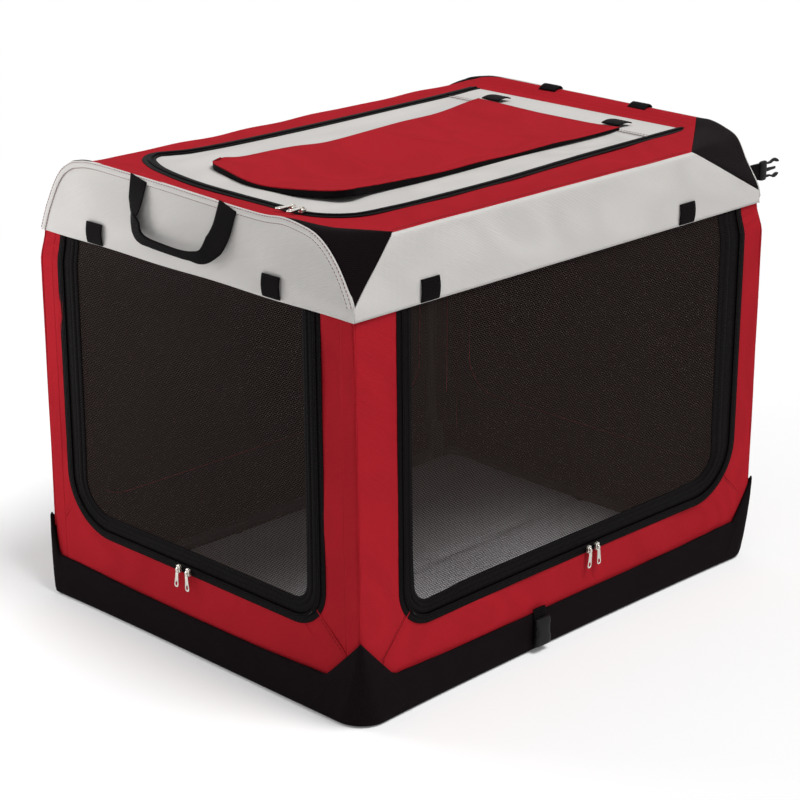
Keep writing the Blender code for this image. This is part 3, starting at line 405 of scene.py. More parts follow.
def piece(name, mesh, look, body, nodes=(), slot=None, shape=None, sharp=False, thick=0,
          lined=False, flat=None):
    """An object for a mesh that rides on a body and stands for some of the frame's nodes. Cloth
    gets its thickness inwards, with the lining on its inner side."""
    lean_out(mesh)
    thing = show(name, mesh)
    mesh.materials.append(looks[look])
    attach(thing, body)
    slot or slots[look]
    if nodes:
        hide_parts(*nodes)
    if sharp:
        mesh.set_sharp_from_angle(angle=math.radians(50))
    if shape:
        shape(thing)
    if thick:
        shell = thing.modifiers.new("thickness", "SOLIDIFY")
        shell.thickness = thick
        shell.offset = -1
        if lined:
            # The shape gives the object its own copy of the mesh, so the lining goes on the
            # object's own
            thing.data.materials.append(looks["lining"])
            shell.material_offset = 1
    if flat:
        width, long = flat
        whole = width * long
        area = min(max(sheet_area(mesh), 0.31 * whole), 0.99 * whole)
    return thing


def sheet(name, grid, look, body, nodes=(), around=False, flip=False, **more):
    """A cloth surface over a grid."""
    return piece(name, grid_mesh(name, grid, around, flip), look, body, nodes, **more)


def skin(name, grid, look, body, nodes=(), around=False, **more):
    """A closed skin over a grid: joined round where asked, or else with its ends drawn together."""
    grid = grid if around else capped(grid)
    uv = flat_uv(grid) if look in ("zip", "webbing") else None
    mesh = grid_mesh(name, grid, around, closed=True, uv=uv)
    return piece(name, mesh, look, body, nodes, **more)


def fold_to():
    """Gives a soft piece its own copy of its mesh."""
    return lambda thing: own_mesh(thing)


sink_wall = fold_to()
lift_band = fold_to()


def stitch_mesh(name, path, up):
    """A row of stitches: short six-sided threads laid end to end along a path, a gap apart."""
    s = sizes()
    whole = run_of(path)[-1]
    count = max(2, int(whole / (s.stitch + s.stitch_gap)))
    at = (np.arange(count) + 0.5) * whole / count
    centre = at_run(path, at)
    ahead, behind = np.minimum(at + s.stitch / 2, whole), np.maximum(at - s.stitch / 2, 0)
    along = unit(at_run(path, ahead) - at_run(path, behind))
    up = np.broadcast_to(np.asarray(up, float), along.shape)
    turn = circle(np.linspace(0, full_turn, 6, endpoint=False))[None]
    ring = np.cross(along, up)[:, None] * turn[..., :1] + up[:, None] * turn[..., 1:]
    points = np.stack([
        centre[:, None] + along[:, None] * share * s.stitch + ring * s.thread / 2 * fat
        for share, fat in ((-0.5, 0.35), (-0.3, 1), (0.3, 1), (0.5, 0.35))], 1)
    k = np.arange(6)
    following = (k + 1) % 6
    sides = np.concatenate([6 * level + np.stack([k, following, following + 6, k + 6], -1)
                            for level in range(3)])
    first = 24 * np.arange(count)[:, None, None]
    faces = [*(first + sides).reshape(-1, 4).tolist(),
             *(first + np.array([k[::-1], k + 18])).reshape(-1, 6).tolist()]
    mesh = bpy.data.meshes.new(name)
    mesh.from_pydata(points.reshape(-1, 3).tolist(), [], faces)
    mesh.shade_smooth()
    return mesh


def sew(name, path, up, slot, body, shape=None):
    """A row of stitches as a piece: red thread in red and grey cloth, and black in the rest."""
    look = "red_thread" if slot in ("red_fabric", "grey_fabric") else "black_thread"
    piece(name, stitch_mesh(name, path, up), look, body, slot=slot, shape=shape)


# Materials


def add(tree, kind, settings=None, inputs=None):
    """Adds one node with its settings, and links or sets its inputs."""
    node = tree.nodes.new(kind)
    for key, value in (settings or {}).items():
        setattr(node, key, value)
    for key, value in (inputs or {}).items():
        if isinstance(value, bpy.types.NodeSocket):
            tree.links.new(value, node.inputs[key])
        else:
            node.inputs[key].default_value = value
    return node


def new_look(name, roughness, gloss, metallic=0.0, ior=1.5):
    """A material with its shader's plain values; returns it with its tree and shader."""
    look = bpy.data.materials.get(name)
    if look:
        bpy.data.materials.remove(look)
    look = bpy.data.materials.new(name)
    look.use_nodes = True
    shader = look.node_tree.nodes["Principled BSDF"]
    for socket, value in (("Roughness", roughness), ("Metallic", metallic), ("IOR", ior),
                          ("Specular IOR Level", gloss)):
        shader.inputs[socket].default_value = value
    return look, look.node_tree, shader


def mottled(tree, shade, scale, spread_share):
    """The colour made a little darker and lighter by soft noise, scale patches to the metre."""
    place = add(tree, "ShaderNodeTexCoord")
    noise = add(tree, "ShaderNodeTexNoise", None,
                {"Vector": place.outputs["Object"], "Scale": scale, "Detail": 3.0})
    dark, light = ((*[min(1, c * factor) for c in shade[:3]], 1)
                   for factor in (1 - spread_share, 1 + spread_share))
    return add(tree, "ShaderNodeMix", {"data_type": "RGBA"},
               {0: noise.outputs["Fac"], 6: dark, 7: light}).outputs[2]


def surfaced(made, shade, height, strength, depth):
    """Gives a new material its colour and a relief of depth metres, and returns it."""
    look, tree, shader = made
    tree.links.new(shade, shader.inputs["Base Color"])
    bump = add(tree, "ShaderNodeBump", None,
               {"Height": height, "Strength": strength, "Distance": depth})
    tree.links.new(bump.outputs[0], shader.inputs["Normal"])
    return look


def woven_look(name, shade, pitch, roughness, depth, gloss=0.05, spread_share=0.08):
    """Plain-woven cloth: rows of threads cross at one pitch and shade each other.

    The height is the sum of three sine waves, along X, Y and Z, which on any flat face gives
    the bumps of a plain weave. The thread's top is paler than the gap beside it, and the gaps
    hide most of the fibres' gloss."""
    made = new_look(name, roughness, gloss)
    tree = made[1]
    place = add(tree, "ShaderNodeTexCoord")
    scaled = add(tree, "ShaderNodeVectorMath", {"operation": "SCALE"},
                 {0: place.outputs["Object"], "Scale": full_turn / pitch})
    parts = add(tree, "ShaderNodeSeparateXYZ", None, {0: scaled.outputs[0]})
    waves = [add(tree, "ShaderNodeMath", {"operation": "SINE"}, {0: parts.outputs[k]}).outputs[0]
             for k in range(3)]
    pair = add(tree, "ShaderNodeMath", {"operation": "ADD"}, {0: waves[0], 1: waves[1]})
    height = add(tree, "ShaderNodeMath", {"operation": "ADD"}, {0: pair.outputs[0], 1: waves[2]})
    share = add(tree, "ShaderNodeMapRange", None,
                {"Value": height.outputs[0], "From Min": -3.0, "From Max": 3.0,
                 "To Min": 0.90, "To Max": 1.10})
    fine = add(tree, "ShaderNodeVectorMath", {"operation": "SCALE"},
               {0: mottled(tree, shade, 9.0, spread_share), "Scale": share.outputs[0]})
    grain = add(tree, "ShaderNodeTexNoise", None,
                {"Vector": place.outputs["Object"], "Scale": 420.0, "Detail": 2.0})
    rough = add(tree, "ShaderNodeMath", {"operation": "ADD"},
                {0: height.outputs[0], 1: grain.outputs["Fac"]})
    return surfaced(made, fine.outputs[0], rough.outputs[0], 0.55, depth)


def net_look(name, shade, thread, hole):
    """Knitted polyester net: rows of long holes, set half a hole apart, seen through.

    Bricks are the holes and mortar is the thread. The net hides thread of what is behind it
    between the holes, and hole of it inside them. Its rows are drawn at 2.6 mm where the real
    ones are nearer 2, so that they show."""
    s = sizes()
    look, tree, shader = new_look(name, 0.6, 0.05)
    shader.inputs["Base Color"].default_value = tuple(shade)
    flat = add(tree, "ShaderNodeUVMap", {"uv_map": "cloth"})
    holes = add(tree, "ShaderNodeTexBrick", {"offset": 0.5, "squash": 1.0}, {
        "Vector": flat.outputs[0], "Scale": 1.0, "Brick Width": s.net_length,
        "Row Height": s.net_row, "Mortar Size": 0.00042, "Mortar Smooth": 0.1,
    })
    seen = add(tree, "ShaderNodeMapRange", None,
               {"Value": holes.outputs["Fac"], "To Min": hole, "To Max": thread})
    tree.links.new(seen.outputs[0], shader.inputs["Alpha"])
    return look


def ribbed_look(name, shade, roughness, gloss, patches, spread_share, ribs, strength, depth):
    """Tape and webbing: low ribs across the strip, a sine of the way along and across it. Ribs
    are the turns of that sine in a metre, along and across."""
    made = new_look(name, roughness, gloss)
    tree = made[1]
    flat = add(tree, "ShaderNodeUVMap", {"uv_map": "cloth"})
    run = add(tree, "ShaderNodeVectorMath", {"operation": "DOT_PRODUCT"},
              {0: flat.outputs[0], 1: (full_turn * ribs[0], full_turn * ribs[1], 0)})
    wave = add(tree, "ShaderNodeMath", {"operation": "SINE"}, {0: run.outputs["Value"]})
    return surfaced(made, mottled(tree, shade, patches, spread_share), wave.outputs[0],
                    strength, depth)


def solid_look(name, shade, roughness, metallic, grain, depth, gloss=0.5, ior=1.5):
    """Moulded, plated or coated parts: an even colour with a fine grain in the gloss."""
    made = new_look(name, roughness, gloss, metallic, ior)
    tree = made[1]
    place = add(tree, "ShaderNodeTexCoord")
    noise = add(tree, "ShaderNodeTexNoise", None,
                {"Vector": place.outputs["Object"], "Scale": grain, "Detail": 2.0})
    return surfaced(made, mottled(tree, shade, grain / 4, 0.08), noise.outputs["Fac"], 0.4, depth)


class CRATE_OT_looks(bpy.types.Operator):
    """Make the crate's materials from its colours"""

    bl_idname = "crate.looks"
    bl_label = "Materials"

    def execute(self, context):
        c = context.scene.crate_colours
        # 600D polyester, woven plain and dyed: its 0.8 mm threads are drawn at 2 mm to show
        looks["red"] = woven_look("red_polyester", c.red, 0.0020, 0.85, 0.0004, 0.03)
        looks["grey"] = woven_look("grey_polyester", c.grey, 0.0020, 0.85, 0.0002, 0.05, 0.03)
        # The same cloth with a coating, so it has a faint shine
        looks["black"] = woven_look("black_polyester", c.black, 0.0020, 0.66, 0.0004, 0.02)
        looks["lining"] = woven_look("coated_lining", c.lining, 0.0020, 0.70, 0.0002, 0.05)
        # Brushed polyester is matt and uneven
        looks["mat"] = woven_look("brushed_mat", c.mat, 0.0030, 0.95, 0.0006, 0.1)
        # Fine black net: its threads are coloured brown as a painted highlight of their shine, so
        # they show as pale rows, and the inside shows dimly through its holes
        looks["net"] = net_look("knitted_net", c.net, 1.0, 0.07)
        # The fixed windows are a closer net, whose holes are too fine to be drawn singly
        looks["close_net"] = net_look("close_net", c.close_net, 1.0, 1.0)
        # Nylon coil on woven tape: dull, with 2.4 mm ribs for its finer teeth so that they show
        looks["zip"] = ribbed_look("coil_zip", c.webbing, 0.5, 0.035, 160.0, 0.25, (1 / 0.0024, 0),
                                   0.8, 0.0005)
        # Polypropylene webbing: a dull twill, whose 2.6 mm ribs slant across the strap
        looks["webbing"] = ribbed_look("polypropylene_webbing", c.webbing, 0.62, 0.03, 60.0, 0.2,
                                       (1 / 0.0026, 0.5 / 0.0026), 0.7, 0.0006)
        # Spun polyester thread is matt
        looks["red_thread"] = solid_look("polyester_thread", c.red_thread, 0.6, 0.0, 900, 0.0001,
                                         0.08)
        looks["black_thread"] = solid_look("black_thread", c.black, 0.5, 0.0, 900, 0.0001, 0.08)
        # Die-cast zinc with bright nickel
        looks["nickel"] = solid_look("bright_nickel", c.nickel, 0.22, 1.0, 300, 0.00004)
        # Acetal from a spark-eroded mould
        looks["plastic"] = solid_look("moulded_acetal", c.plastic, 0.42, 0.0, 700, 0.00008, 0.12,
                                      1.48)
        # Powder coat has a fine orange peel
        looks["tube"] = solid_look("powder_coat", c.tube, 0.45, 0.0, 500, 0.0001)
        # Zinc plate is bright but cloudy
        looks["zinc"] = solid_look("zinc_plate", c.zinc, 0.35, 1.0, 220, 0.00005)
        return {"FINISHED"}


class CRATE_OT_frame(bpy.types.Operator):
    """Give the steel frame, its fittings and the floor board their finishes"""

    bl_idname = "crate.frame"
    bl_label = "Steel frame"

    def execute(self, context):
        sides = ("left", "right")
        finishes = {
            "tube": ["base_frame", "front_hoop", "rear_hoop"],
            "zinc": [f"{end}_{side}_hinge_bracket" for end in ("front", "rear") for side in sides]
            + [f"{side}_roof_rail" for side in sides],
            "plastic": [f"{side}_{part}" for part in ("roof_runner", "rest_pad") for side in sides],
            "lining": ["floor_board"],
        }
        for look, nodes in finishes.items():
            for node in nodes:
                for slot in frame["nodes"][node].material_slots:
                    slot.material = looks[look]
        return {"FINISHED"}


def corner_radius(z, sx, sy):
    """The upright edges' radius: tight above the tray, and wider and wider towards the floor.
    The near corner, at the front right, is the widest, and the front left one stays tight."""
    s = sizes()
    share = np.clip(1 - np.asarray(z) / tray_peak, 0, 1)
    front = np.where(np.asarray(sx) > 0, s.foot_corner, s.wall_corner + 0.003)
    foot = np.where(np.asarray(sy) < 0, front, s.far_corner)
    return s.wall_corner + (foot - s.wall_corner) * share**1.25


def tray_stations():
    """The tray's outline in signs: each station's corner, and its unit direction from there."""
    along = np.sin(np.linspace(-quarter_turn, quarter_turn, 64)[1:-1])
    quarter = np.linspace(0, quarter_turn, 18)
    corner, out = [], []
    for k, face in enumerate(np.array([(0, -1), (1, 0), (0, 1), (-1, 0)])):
        aside = np.array([-face[1], face[0]])
        corner += [face + along[:, None] * aside, np.tile(face + aside, (len(quarter), 1))]
        out += [np.tile(face, (len(along), 1)), circle((k - 1) * quarter_turn + quarter)]
    return np.concatenate(corner), np.concatenate(out)


def tray_flat(inset, z, stations):
    """The stations' places at heights z: corner centres plus the radius along each direction."""
    corner, out = stations
    radius = np.maximum(corner_radius(z, corner[:, 0], corner[:, 1]) - inset, 0.001)[:, None]
    half = np.array([tray_x - inset, tray_y - inset])
    return corner * (half - radius) + radius * out, radius[:, 0]


def tray_rim(stations):
    """The rim's height: it climbs a little towards each corner, and then straight to its point.
    The way from the corner depends on the radius at the rim, so it is worked out four times."""
    s = sizes()
    rim = np.full(len(stations[0]), s.tray_rim)
    for _ in range(4):
        flat, radius = tray_flat(0, rim, stations)
        off = (np.array([tray_x, tray_y]) - np.abs(flat)).sum(1) - (2 - math.sqrt(2)) * radius
        off = np.maximum(off, 0)
        low = s.tray_rim + s.tray_climb * np.exp(-((off / 0.13) ** 2))
        rim = low + (tray_peak - low) * np.clip(1 - off / corner_reach(*stations), 0, 1)
    return rim


def corner_reach(corner, out):
    """How far each corner piece runs along a side: the ones at the front left and the rear
    right are sewn further round their corners, so they run less far on the front and the right."""
    reach = np.full(len(corner), sizes().tray_reach)
    reach[(out[:, 0] > 0.9) & (corner[:, 1] > 0)] *= 0.6
    reach[(out[:, 1] < -0.9) & (corner[:, 0] < 0)] *= 0.25
    return reach


class CRATE_OT_tray(bpy.types.Operator):
    """Build the black base tray with its pointed corners"""

    bl_idname = "crate.tray"
    bl_label = "Base tray"

    def execute(self, context):
        """The tray is rings: from its foot's middle, round its edge, up its side, over the rim
        and down inside. Each is inset, a share of the rim's height, and a height above that."""
        stations = tray_stations()
        rim = tray_rim(stations)
        wall = sizes().tray_wall
        levels = [
            (0.030, 0, 0.0004), (0.010, 0, 0.0003), (0.0035, 0, 0.0012), (0.001, 0, 0.004),
            (0.0, 0, 0.010), (-0.0006, 0.25, 0), (-0.0008, 0.5, 0), (-0.0006, 0.75, 0),
            (0.0, 0.97, 0), (0.0012, 1.0, 0), (wall - 0.0008, 1.0, 0), (wall, 0.96, 0),
            (wall, 0.7, 0), (wall, 0.4, 0), (wall, 0, 0.012), (wall + 0.010, 0, 0.003),
        ]
        heights = [rim * share + height for _, share, height in levels]
        grid = np.stack([np.column_stack([tray_flat(level[0], z, stations)[0], z])
                         for level, z in zip(levels, heights)])
        outside = np.array([height <= 0 and inset <= 0.001 for inset, _, height in levels])
        bulge = slack(grid[..., 0] + grid[..., 1], grid[..., 2], 5, 0.0005) * outside[:, None]
        grid[..., :2] += stations[1] * bulge[..., None]
        skin("tray_cloth", grid, "black", "base", ["base_tray"])
        self.stitch_corners()
        return {"FINISHED"}

    def stitch_corners(self):
        """Two seams from each corner piece's foot, where the rim starts to climb."""
        s = sizes()
        down = np.linspace(0, 1, 20)
        z = (s.tray_rim + s.tray_climb) * (1 - down) + 0.004 * down
        for sx, sy in corners:
            for k, out in enumerate(np.array([(0, sy), (sx, 0)])):
                reach = corner_reach(np.array([[sx, sy]]), out[None])[0]
                flat = [tray_x + 0.0011 + 0 * z, tray_y + 0.0011 + 0 * z]
                slant = 0.045 if reach == s.tray_reach else 0.028
                flat[k] = (tray_x, tray_y)[k] - (reach + slant * down)
                path = np.stack([sx * flat[0], sy * flat[1], z], -1)
                sew(f"tray_seam_{'lr'[sx > 0]}{'fb'[sy > 0]}_{k}", path, (*out, 0),
                    "black_fabric", "base")


def round_side(u, v, d, reach, radius):
    """Bends a long flat wall round the crate's upright edges.

    Past the straight part, a point's way along the wall is shared out over the rest of the
    side, a quarter circle whose radius is that of the edge at its height, and the end's face."""
    start = wall_y - sizes().foot_corner - 0.012
    past = np.clip((np.abs(u) - start) / (reach - start), 0, None)
    run_side = wall_y - radius - start
    run_turn = radius * quarter_turn
    run_end = wall_x - radius - front_seam
    way = past * (run_side + run_turn + run_end)
    turn = np.clip((way - run_side) / np.maximum(radius, 1e-6), 0, quarter_turn)
    on_end = np.maximum(way - run_side - run_turn, 0)
    x = wall_x - radius + (radius + d) * np.cos(turn) - on_end
    y = start + np.minimum(way, run_side) + (radius + d) * np.sin(turn)
    flat = np.abs(u) < start
    return np.where(flat, wall_x + d, x), np.sign(u) * np.where(flat, np.abs(u), y)


def wall_cloth(low, high, radii, reach, foot, head, seed):
    """A wall's flat grid round its opening, with its slack and the puckers beside the seam."""
    inner = spread(round_corners(low, high, radii), 300, True)
    outer = round_corners((-reach, foot), (reach, head), (0.001,) * 4, 4)
    grid, share = ring_between(inner, outer, 30)
    u, v = grid[..., 0], grid[..., 1]
    depth = slack(u, v, seed, sizes().wave) * hump(share, 0.7)
    angle = np.linspace(0, full_turn, len(u), endpoint=False)[:, None]
    pucker = np.sin(angle * 90 + 2 * np.sin(angle * 5))
    return u, v, depth + 0.00035 * pucker * np.exp(-share * 0.09 / 0.012)


def front_opening():
    """The front door's middle, half width and corner radii."""
    s = sizes()
    return -0.011, front_door_high[0] - 0.0045, (s.wide_corner, s.tight_corner)


def side_opening():
    """The side door's middle, half width and corner radii."""
    s = sizes()
    return 0.016, side_door_high[1] + 0.0015, (s.tight_corner, s.wide_corner)


def doorway(opening, low, high):
    """The two corners and the four radii of the hole that a wall leaves for a door."""
    middle, half, radii = opening
    foot, head = low[2] - seam_gap, high[2] + seam_gap
    return (middle - half, foot), (middle + half, head), (*radii, 0.002, 0.002)


class CRATE_OT_walls(bpy.types.Operator):
    """Build the red walls round the doors and windows"""

    bl_idname = "crate.walls"
    bl_label = "Walls"

    def execute(self, context):
        all_round = (sizes().window_corner,) * 4
        half = rear_window_high[0]
        self.side("right", 1, *doorway(side_opening(), side_door_low, side_door_high))
        self.side("left", -1, left_window_low[1:], left_window_high[1:], all_round)
        self.end("front", to_front, front_foot - 0.010, front_head, 21, "front_hoop", None,
                 *doorway(front_opening(), front_door_low, front_door_high))
        self.end("rear", to_rear, wall_foot, wall_head, 33, "base", sink_wall,
                 (-half, rear_window_low[2]), (half, rear_window_high[2]), all_round)
        self.edge_seams()
        self.corner_seams()
        return {"FINISHED"}

    def end(self, name, place, foot, head, seed, body, shape, low, high, radii):
        """An end's wall, between the two side walls' seams."""
        u, v, depth = wall_cloth(low, high, radii, front_seam + 0.0003, foot, head, seed)
        sheet(f"{name}_wall_cloth", place(u, v, wall_y + depth), "red", body, [f"{name}_wall"],
              True, True, shape=shape, thick=sizes().cloth, lined=True,
              flat=(2 * front_seam + 0.001, head - foot))

    def side(self, name, way, low, high, radii):
        """A long wall, bent round the upright edges to its seams on the two ends."""
        reach = wall_y + (wall_x - front_seam)
        u, v, depth = wall_cloth(low, high, radii, reach, wall_foot, wall_head, 7 + way)
        radius = np.maximum(corner_radius(v, way, way * u) - 0.0005, 0.001)
        below = np.clip((tray_peak - v) / tray_peak, 0, 1) * 0.001
        x, y = round_side(u, v, depth - below, reach, radius)
        sheet(f"{name}_wall_cloth", np.stack([way * x, way * y, v], -1), "red", "base",
              [f"{name}_wall"], True, True, shape=sink_wall, thick=sizes().cloth, lined=True,
              flat=(2 * reach + 0.002, wall_head - wall_foot))

    def corner_seams(self):
        """A raised seam from each door's lower corner to the tray's corner piece."""
        share = np.linspace(0, 1, 24)[:, None]
        for name, place, body, start, end in (
            ("front_near", to_front, "front_hoop", (0.2297, 0.1464), (0.2775, 0.1025)),
            ("front_left", to_front, "front_hoop", (-0.2660, 0.1420), (-0.2785, 0.1270)),
            ("side_near", to_right, "base", (-0.3100, 0.1396), (-0.3600, 0.0850)),
            ("side_far", to_right, "base", (0.3450, 0.1420), (0.3800, 0.1050)),
        ):
            line = np.array(start) * (1 - share) + np.array(end) * share
            flat = in_plane_normal(line)
            off = (wall_y if place is to_front else wall_x) + 0.0006
            shape = sink_wall if body == "base" else None
            path, stitches = (place(*(line + flat * aside).T, off) for aside in (0, 0.004))
            skin(f"{name}_corner_seam", strap_grid(path, place(*flat.T, 0), 0.0024, 0.0016, 2, 10),
                 "red", body, shape=shape)
            sew(f"{name}_corner_stitch", stitches, place(0, 0, 1), "red_fabric", body, shape)

    def edge_seams(self):
        """A fine ridge of cloth up each of the crate's four upright edges."""
        z = np.linspace(tray_peak - 0.02, wall_head - 0.002, 60)
        bow = slack(z, z * 0, 3, 0.0004)
        off = -0.0006 - sizes().wall_corner * (1 - math.sqrt(0.5))
        for sx, sy in corners:
            path = np.stack([sx * (wall_x + off) + bow, sy * (wall_y + off) + 0 * z, z], -1)
            grid = strap_grid(path, unit(np.array([sx, -sy, 0])), 0.0013, 0.0046, 2, 10)
            skin(f"edge_ridge_{'lr'[sx > 0]}{'fb'[sy > 0]}", grid, "red", "base", shape=sink_wall)


def tape_profile():
    """A zip's sewn tape in section: two stitched lines and the raised coil at its inner edge."""
    w = sizes().tape
    top = [(w, 0.0005), (w - 0.0006, 0.0012), (w - 0.0018, 0.0012), (w - 0.0022, 0.0008),
           (w - 0.0026, 0.0012), (w - 0.0058, 0.0012), (w - 0.0062, 0.0008), (w - 0.0066, 0.0012),
           (0.0026, 0.0011), (0.0004, 0.0010)]
    return np.array([(0.0004, 0.0003), (w * 0.5, 0.0003), (w - 0.0004, 0.0003)] + top)


def binding_profile():
    """A door's binding in section: the coil's tape, a rolled edge and a flat hem."""
    w = -sizes().binding
    top = [(w, -0.0006), (w + 0.0006, 0.0002), (w + 0.0052, 0.0004), (w + 0.0058, 0.0001),
           (w + 0.0064, 0.0010), (w + 0.0092, 0.0019), (w + 0.0120, 0.0012), (w + 0.0126, 0.0004),
           (w + 0.0132, 0.0009), (w + 0.0165, 0.0009), (-0.0008, 0.0007)]
    return np.array([(-0.0008, -0.0012), (w * 0.5, -0.0018), (w, -0.0014)] + top)


def coil_profile(side):
    """Half of a zip's coil in section: a small round bead beside the parting line."""
    r = sizes().coil
    return superellipse(r, r * 0.8, 2.4, 12) + np.array([side * r * 1.05, 0.0018])


def trim(name, path, profile, place, base, body, nodes=(), look="zip", widths=1.0, **more):
    """A closed strip carried along an open path, as a piece. Its profile is widened as asked."""
    side = in_plane_normal(path) * np.broadcast_to(widths, len(path))[:, None]
    skin(name, swept(path, side, profile, place, base), look, body, nodes, **more)


def net_piece(name, outline, place, base, sag, body, nodes, look="net", shape=None):
    """A net filling an outline: a grid from its middle outwards, pushed in a little by slack."""
    middle = (outline.min(0) + outline.max(0)) / 2
    share = np.linspace(0, 1, 26)[None, :]
    flat = middle + (outline[:, None, :] - middle) * share[..., None]
    u, v = flat[..., 0], flat[..., 1]
    depth = slack(u, v, len(name), sag * 0.45) * (1 - share**4) - sag * (1 - share**2)
    mesh = grid_mesh(name, place(u, v, base + depth), around=True, flip=True, weld=True, uv=flat)
    span = np.ptp(outline, axis=0) * 1.003
    piece(name, mesh, look, body, nodes, shape=shape, flat=(float(span[0]), float(span[1])))


class CRATE_OT_doors(bpy.types.Operator):
    """Build the two net doors, their bindings and their zips"""

    bl_idname = "crate.doors"
    bl_label = "Doors"

    def execute(self, context):
        self.door("front", to_front, wall_y, front_opening(), front_door_low, front_door_high,
                  "front_door", "front_hoop", "front_zip_tape", None, (1.15, 1.0, 0.90))
        self.door("side", to_right, wall_x, side_opening(), side_door_low, side_door_high,
                  "right_door", "base", "right_zip_tape", sink_wall, (0.65, 1.05, 1.60))
        return {"FINISHED"}

    def door(self, kind, place, face, opening, low, high, body, carrier, tape_node, shape, widths):
        """A door's parts share one line. Its binding has its own width on the left, the sill
        and the right, and the net starts at the binding's inner edge."""
        middle, half, radii = opening
        line = door_line(middle, half, low[2] - seam_gap, high[2], radii, 260)
        way = np.linspace(0, 1, len(line))
        widths = np.interp(way, (0, 0.22, 0.36, 0.64, 0.78, 1), np.repeat(widths, 2))
        for part, profile, rider, nodes, more in (
            ("zip_tape_cloth", tape_profile(), carrier, [tape_node], {}),
            ("zip_outer_coil", coil_profile(1), carrier, (), {}),
            ("zip_inner_coil", coil_profile(-1), body, (), {}),
            ("door_binding_cloth", binding_profile(), body, [f"{body}_binding"],
             {"widths": widths, "slot": "binding"}),
        ):
            trim(f"{kind}_{part}", line, profile, place, face, rider, nodes, shape=shape, **more)
        edge = line - in_plane_normal(line) * (sizes().binding * widths - 0.002)[:, None]
        net_piece(f"{kind}_door_net", spread(edge, 320), place, face - 0.0012, 0.0035, body,
                  [f"{body}_mesh"], shape=shape)


class CRATE_OT_windows(bpy.types.Operator):
    """Build the fixed net windows at the left and the back with their bindings"""

    bl_idname = "crate.windows"
    bl_label = "Windows"

    def execute(self, context):
        self.window("left", to_left, wall_x, left_window_high[1], left_window_low, left_window_high)
        self.window("rear", to_rear, wall_y, rear_window_high[0], rear_window_low, rear_window_high)
        return {"FINISHED"}

    def window(self, kind, place, face, half, low, high):
        """A net in a rounded rectangle, and a folded tape carried round its edge."""
        radii = (sizes().window_corner,) * 4
        outline = spread(round_corners((-half, low[2]), (half, high[2]), radii), 300, True)
        net_piece(f"{kind}_window_net", outline, place, face - 0.0014, 0.004, "base",
                  [f"{kind}_window_mesh"], "close_net", sink_wall)
        profile = np.array([(-0.009, 0.0002), (0.009, 0.0002), (0.009, 0.0010), (0.0086, 0.0014),
                            (0.0004, 0.0014), (0.0, 0.0008), (-0.0004, 0.0014), (-0.0086, 0.0014),
                            (-0.009, 0.0010)])
        line = np.concatenate([outline, outline[:1]])
        side = in_plane_normal(line)
        side[0] = side[-1] = unit(side[0] + side[-1])
        skin(f"{kind}_window_binding", swept(line, side, profile, place, face)[:-1], "webbing",
             "base", around=True, slot="binding", shape=sink_wall)


def end_top(x, sy):
    """The end bands' upper edge: a smooth line over listed points, level between two humps
    and rounded down to the bands' feet. The left shoulder sinks more than the right one."""
    left = [(-0.3072, 0.5455), (-0.2960, 0.5730), (-0.2850, 0.5943), (-0.2715, 0.6176)]
    if sy < 0:
        rest = [(-0.2561, 0.6362), (-0.2376, 0.6483), (-0.2220, 0.6536), (-0.1817, 0.6583),
                (-0.0600, 0.6560), (0.0500, 0.6525), (0.1433, 0.6505), (0.1851, 0.6535),
                (0.2153, 0.6505), (0.2415, 0.6444), (0.2638, 0.6302), (0.2842, 0.6071),
                (0.3000, 0.5797), (0.3062, 0.5640), (0.3075, 0.5455)]
    else:
        rest = [(-0.2561, 0.6350), (-0.2376, 0.6465), (-0.2020, 0.6534), (-0.0600, 0.6525),
                (0.0800, 0.6510), (0.1877, 0.6499), (0.2143, 0.6497), (0.2400, 0.6430),
                (0.2626, 0.6317), (0.2812, 0.6012), (0.3000, 0.5750), (0.3062, 0.5600),
                (0.3075, 0.5455)]
    line = smooth_path(left + rest, 600)
    return np.interp(x, line[:, 0], line[:, 1])


def sunk(x):
    """How far the roof's left shoulder sinks: a power of the way past its start."""
    return sizes().shoulder * np.clip((-x - shoulder_start) / shoulder_run, 0, 1) ** 1.3


def roof_rise(x, y):
    """How far the roof stands above its plain level: a sunk left shoulder, and a lip towards
    each end that fades as a bell curve."""
    inside = np.clip(x, -0.2376, 0.2415)
    plain = roof_z - sunk(inside)
    front, rear = ((end_top(inside, sy) - plain) * np.exp(-(((y - sy * band_y) / sizes().lip) ** 2))
                   for sy in (-1, 1))
    return front + rear - sunk(x)


def patch_place(sx, sy):
    """A corner patch's tip along the side and its foot's height."""
    tip = {(1, 1): 0.2425, (-1, 1): 0.372}.get((sx, sy), patch_apex)
    return tip, 0.5625 if sx > 0 else 0.5530


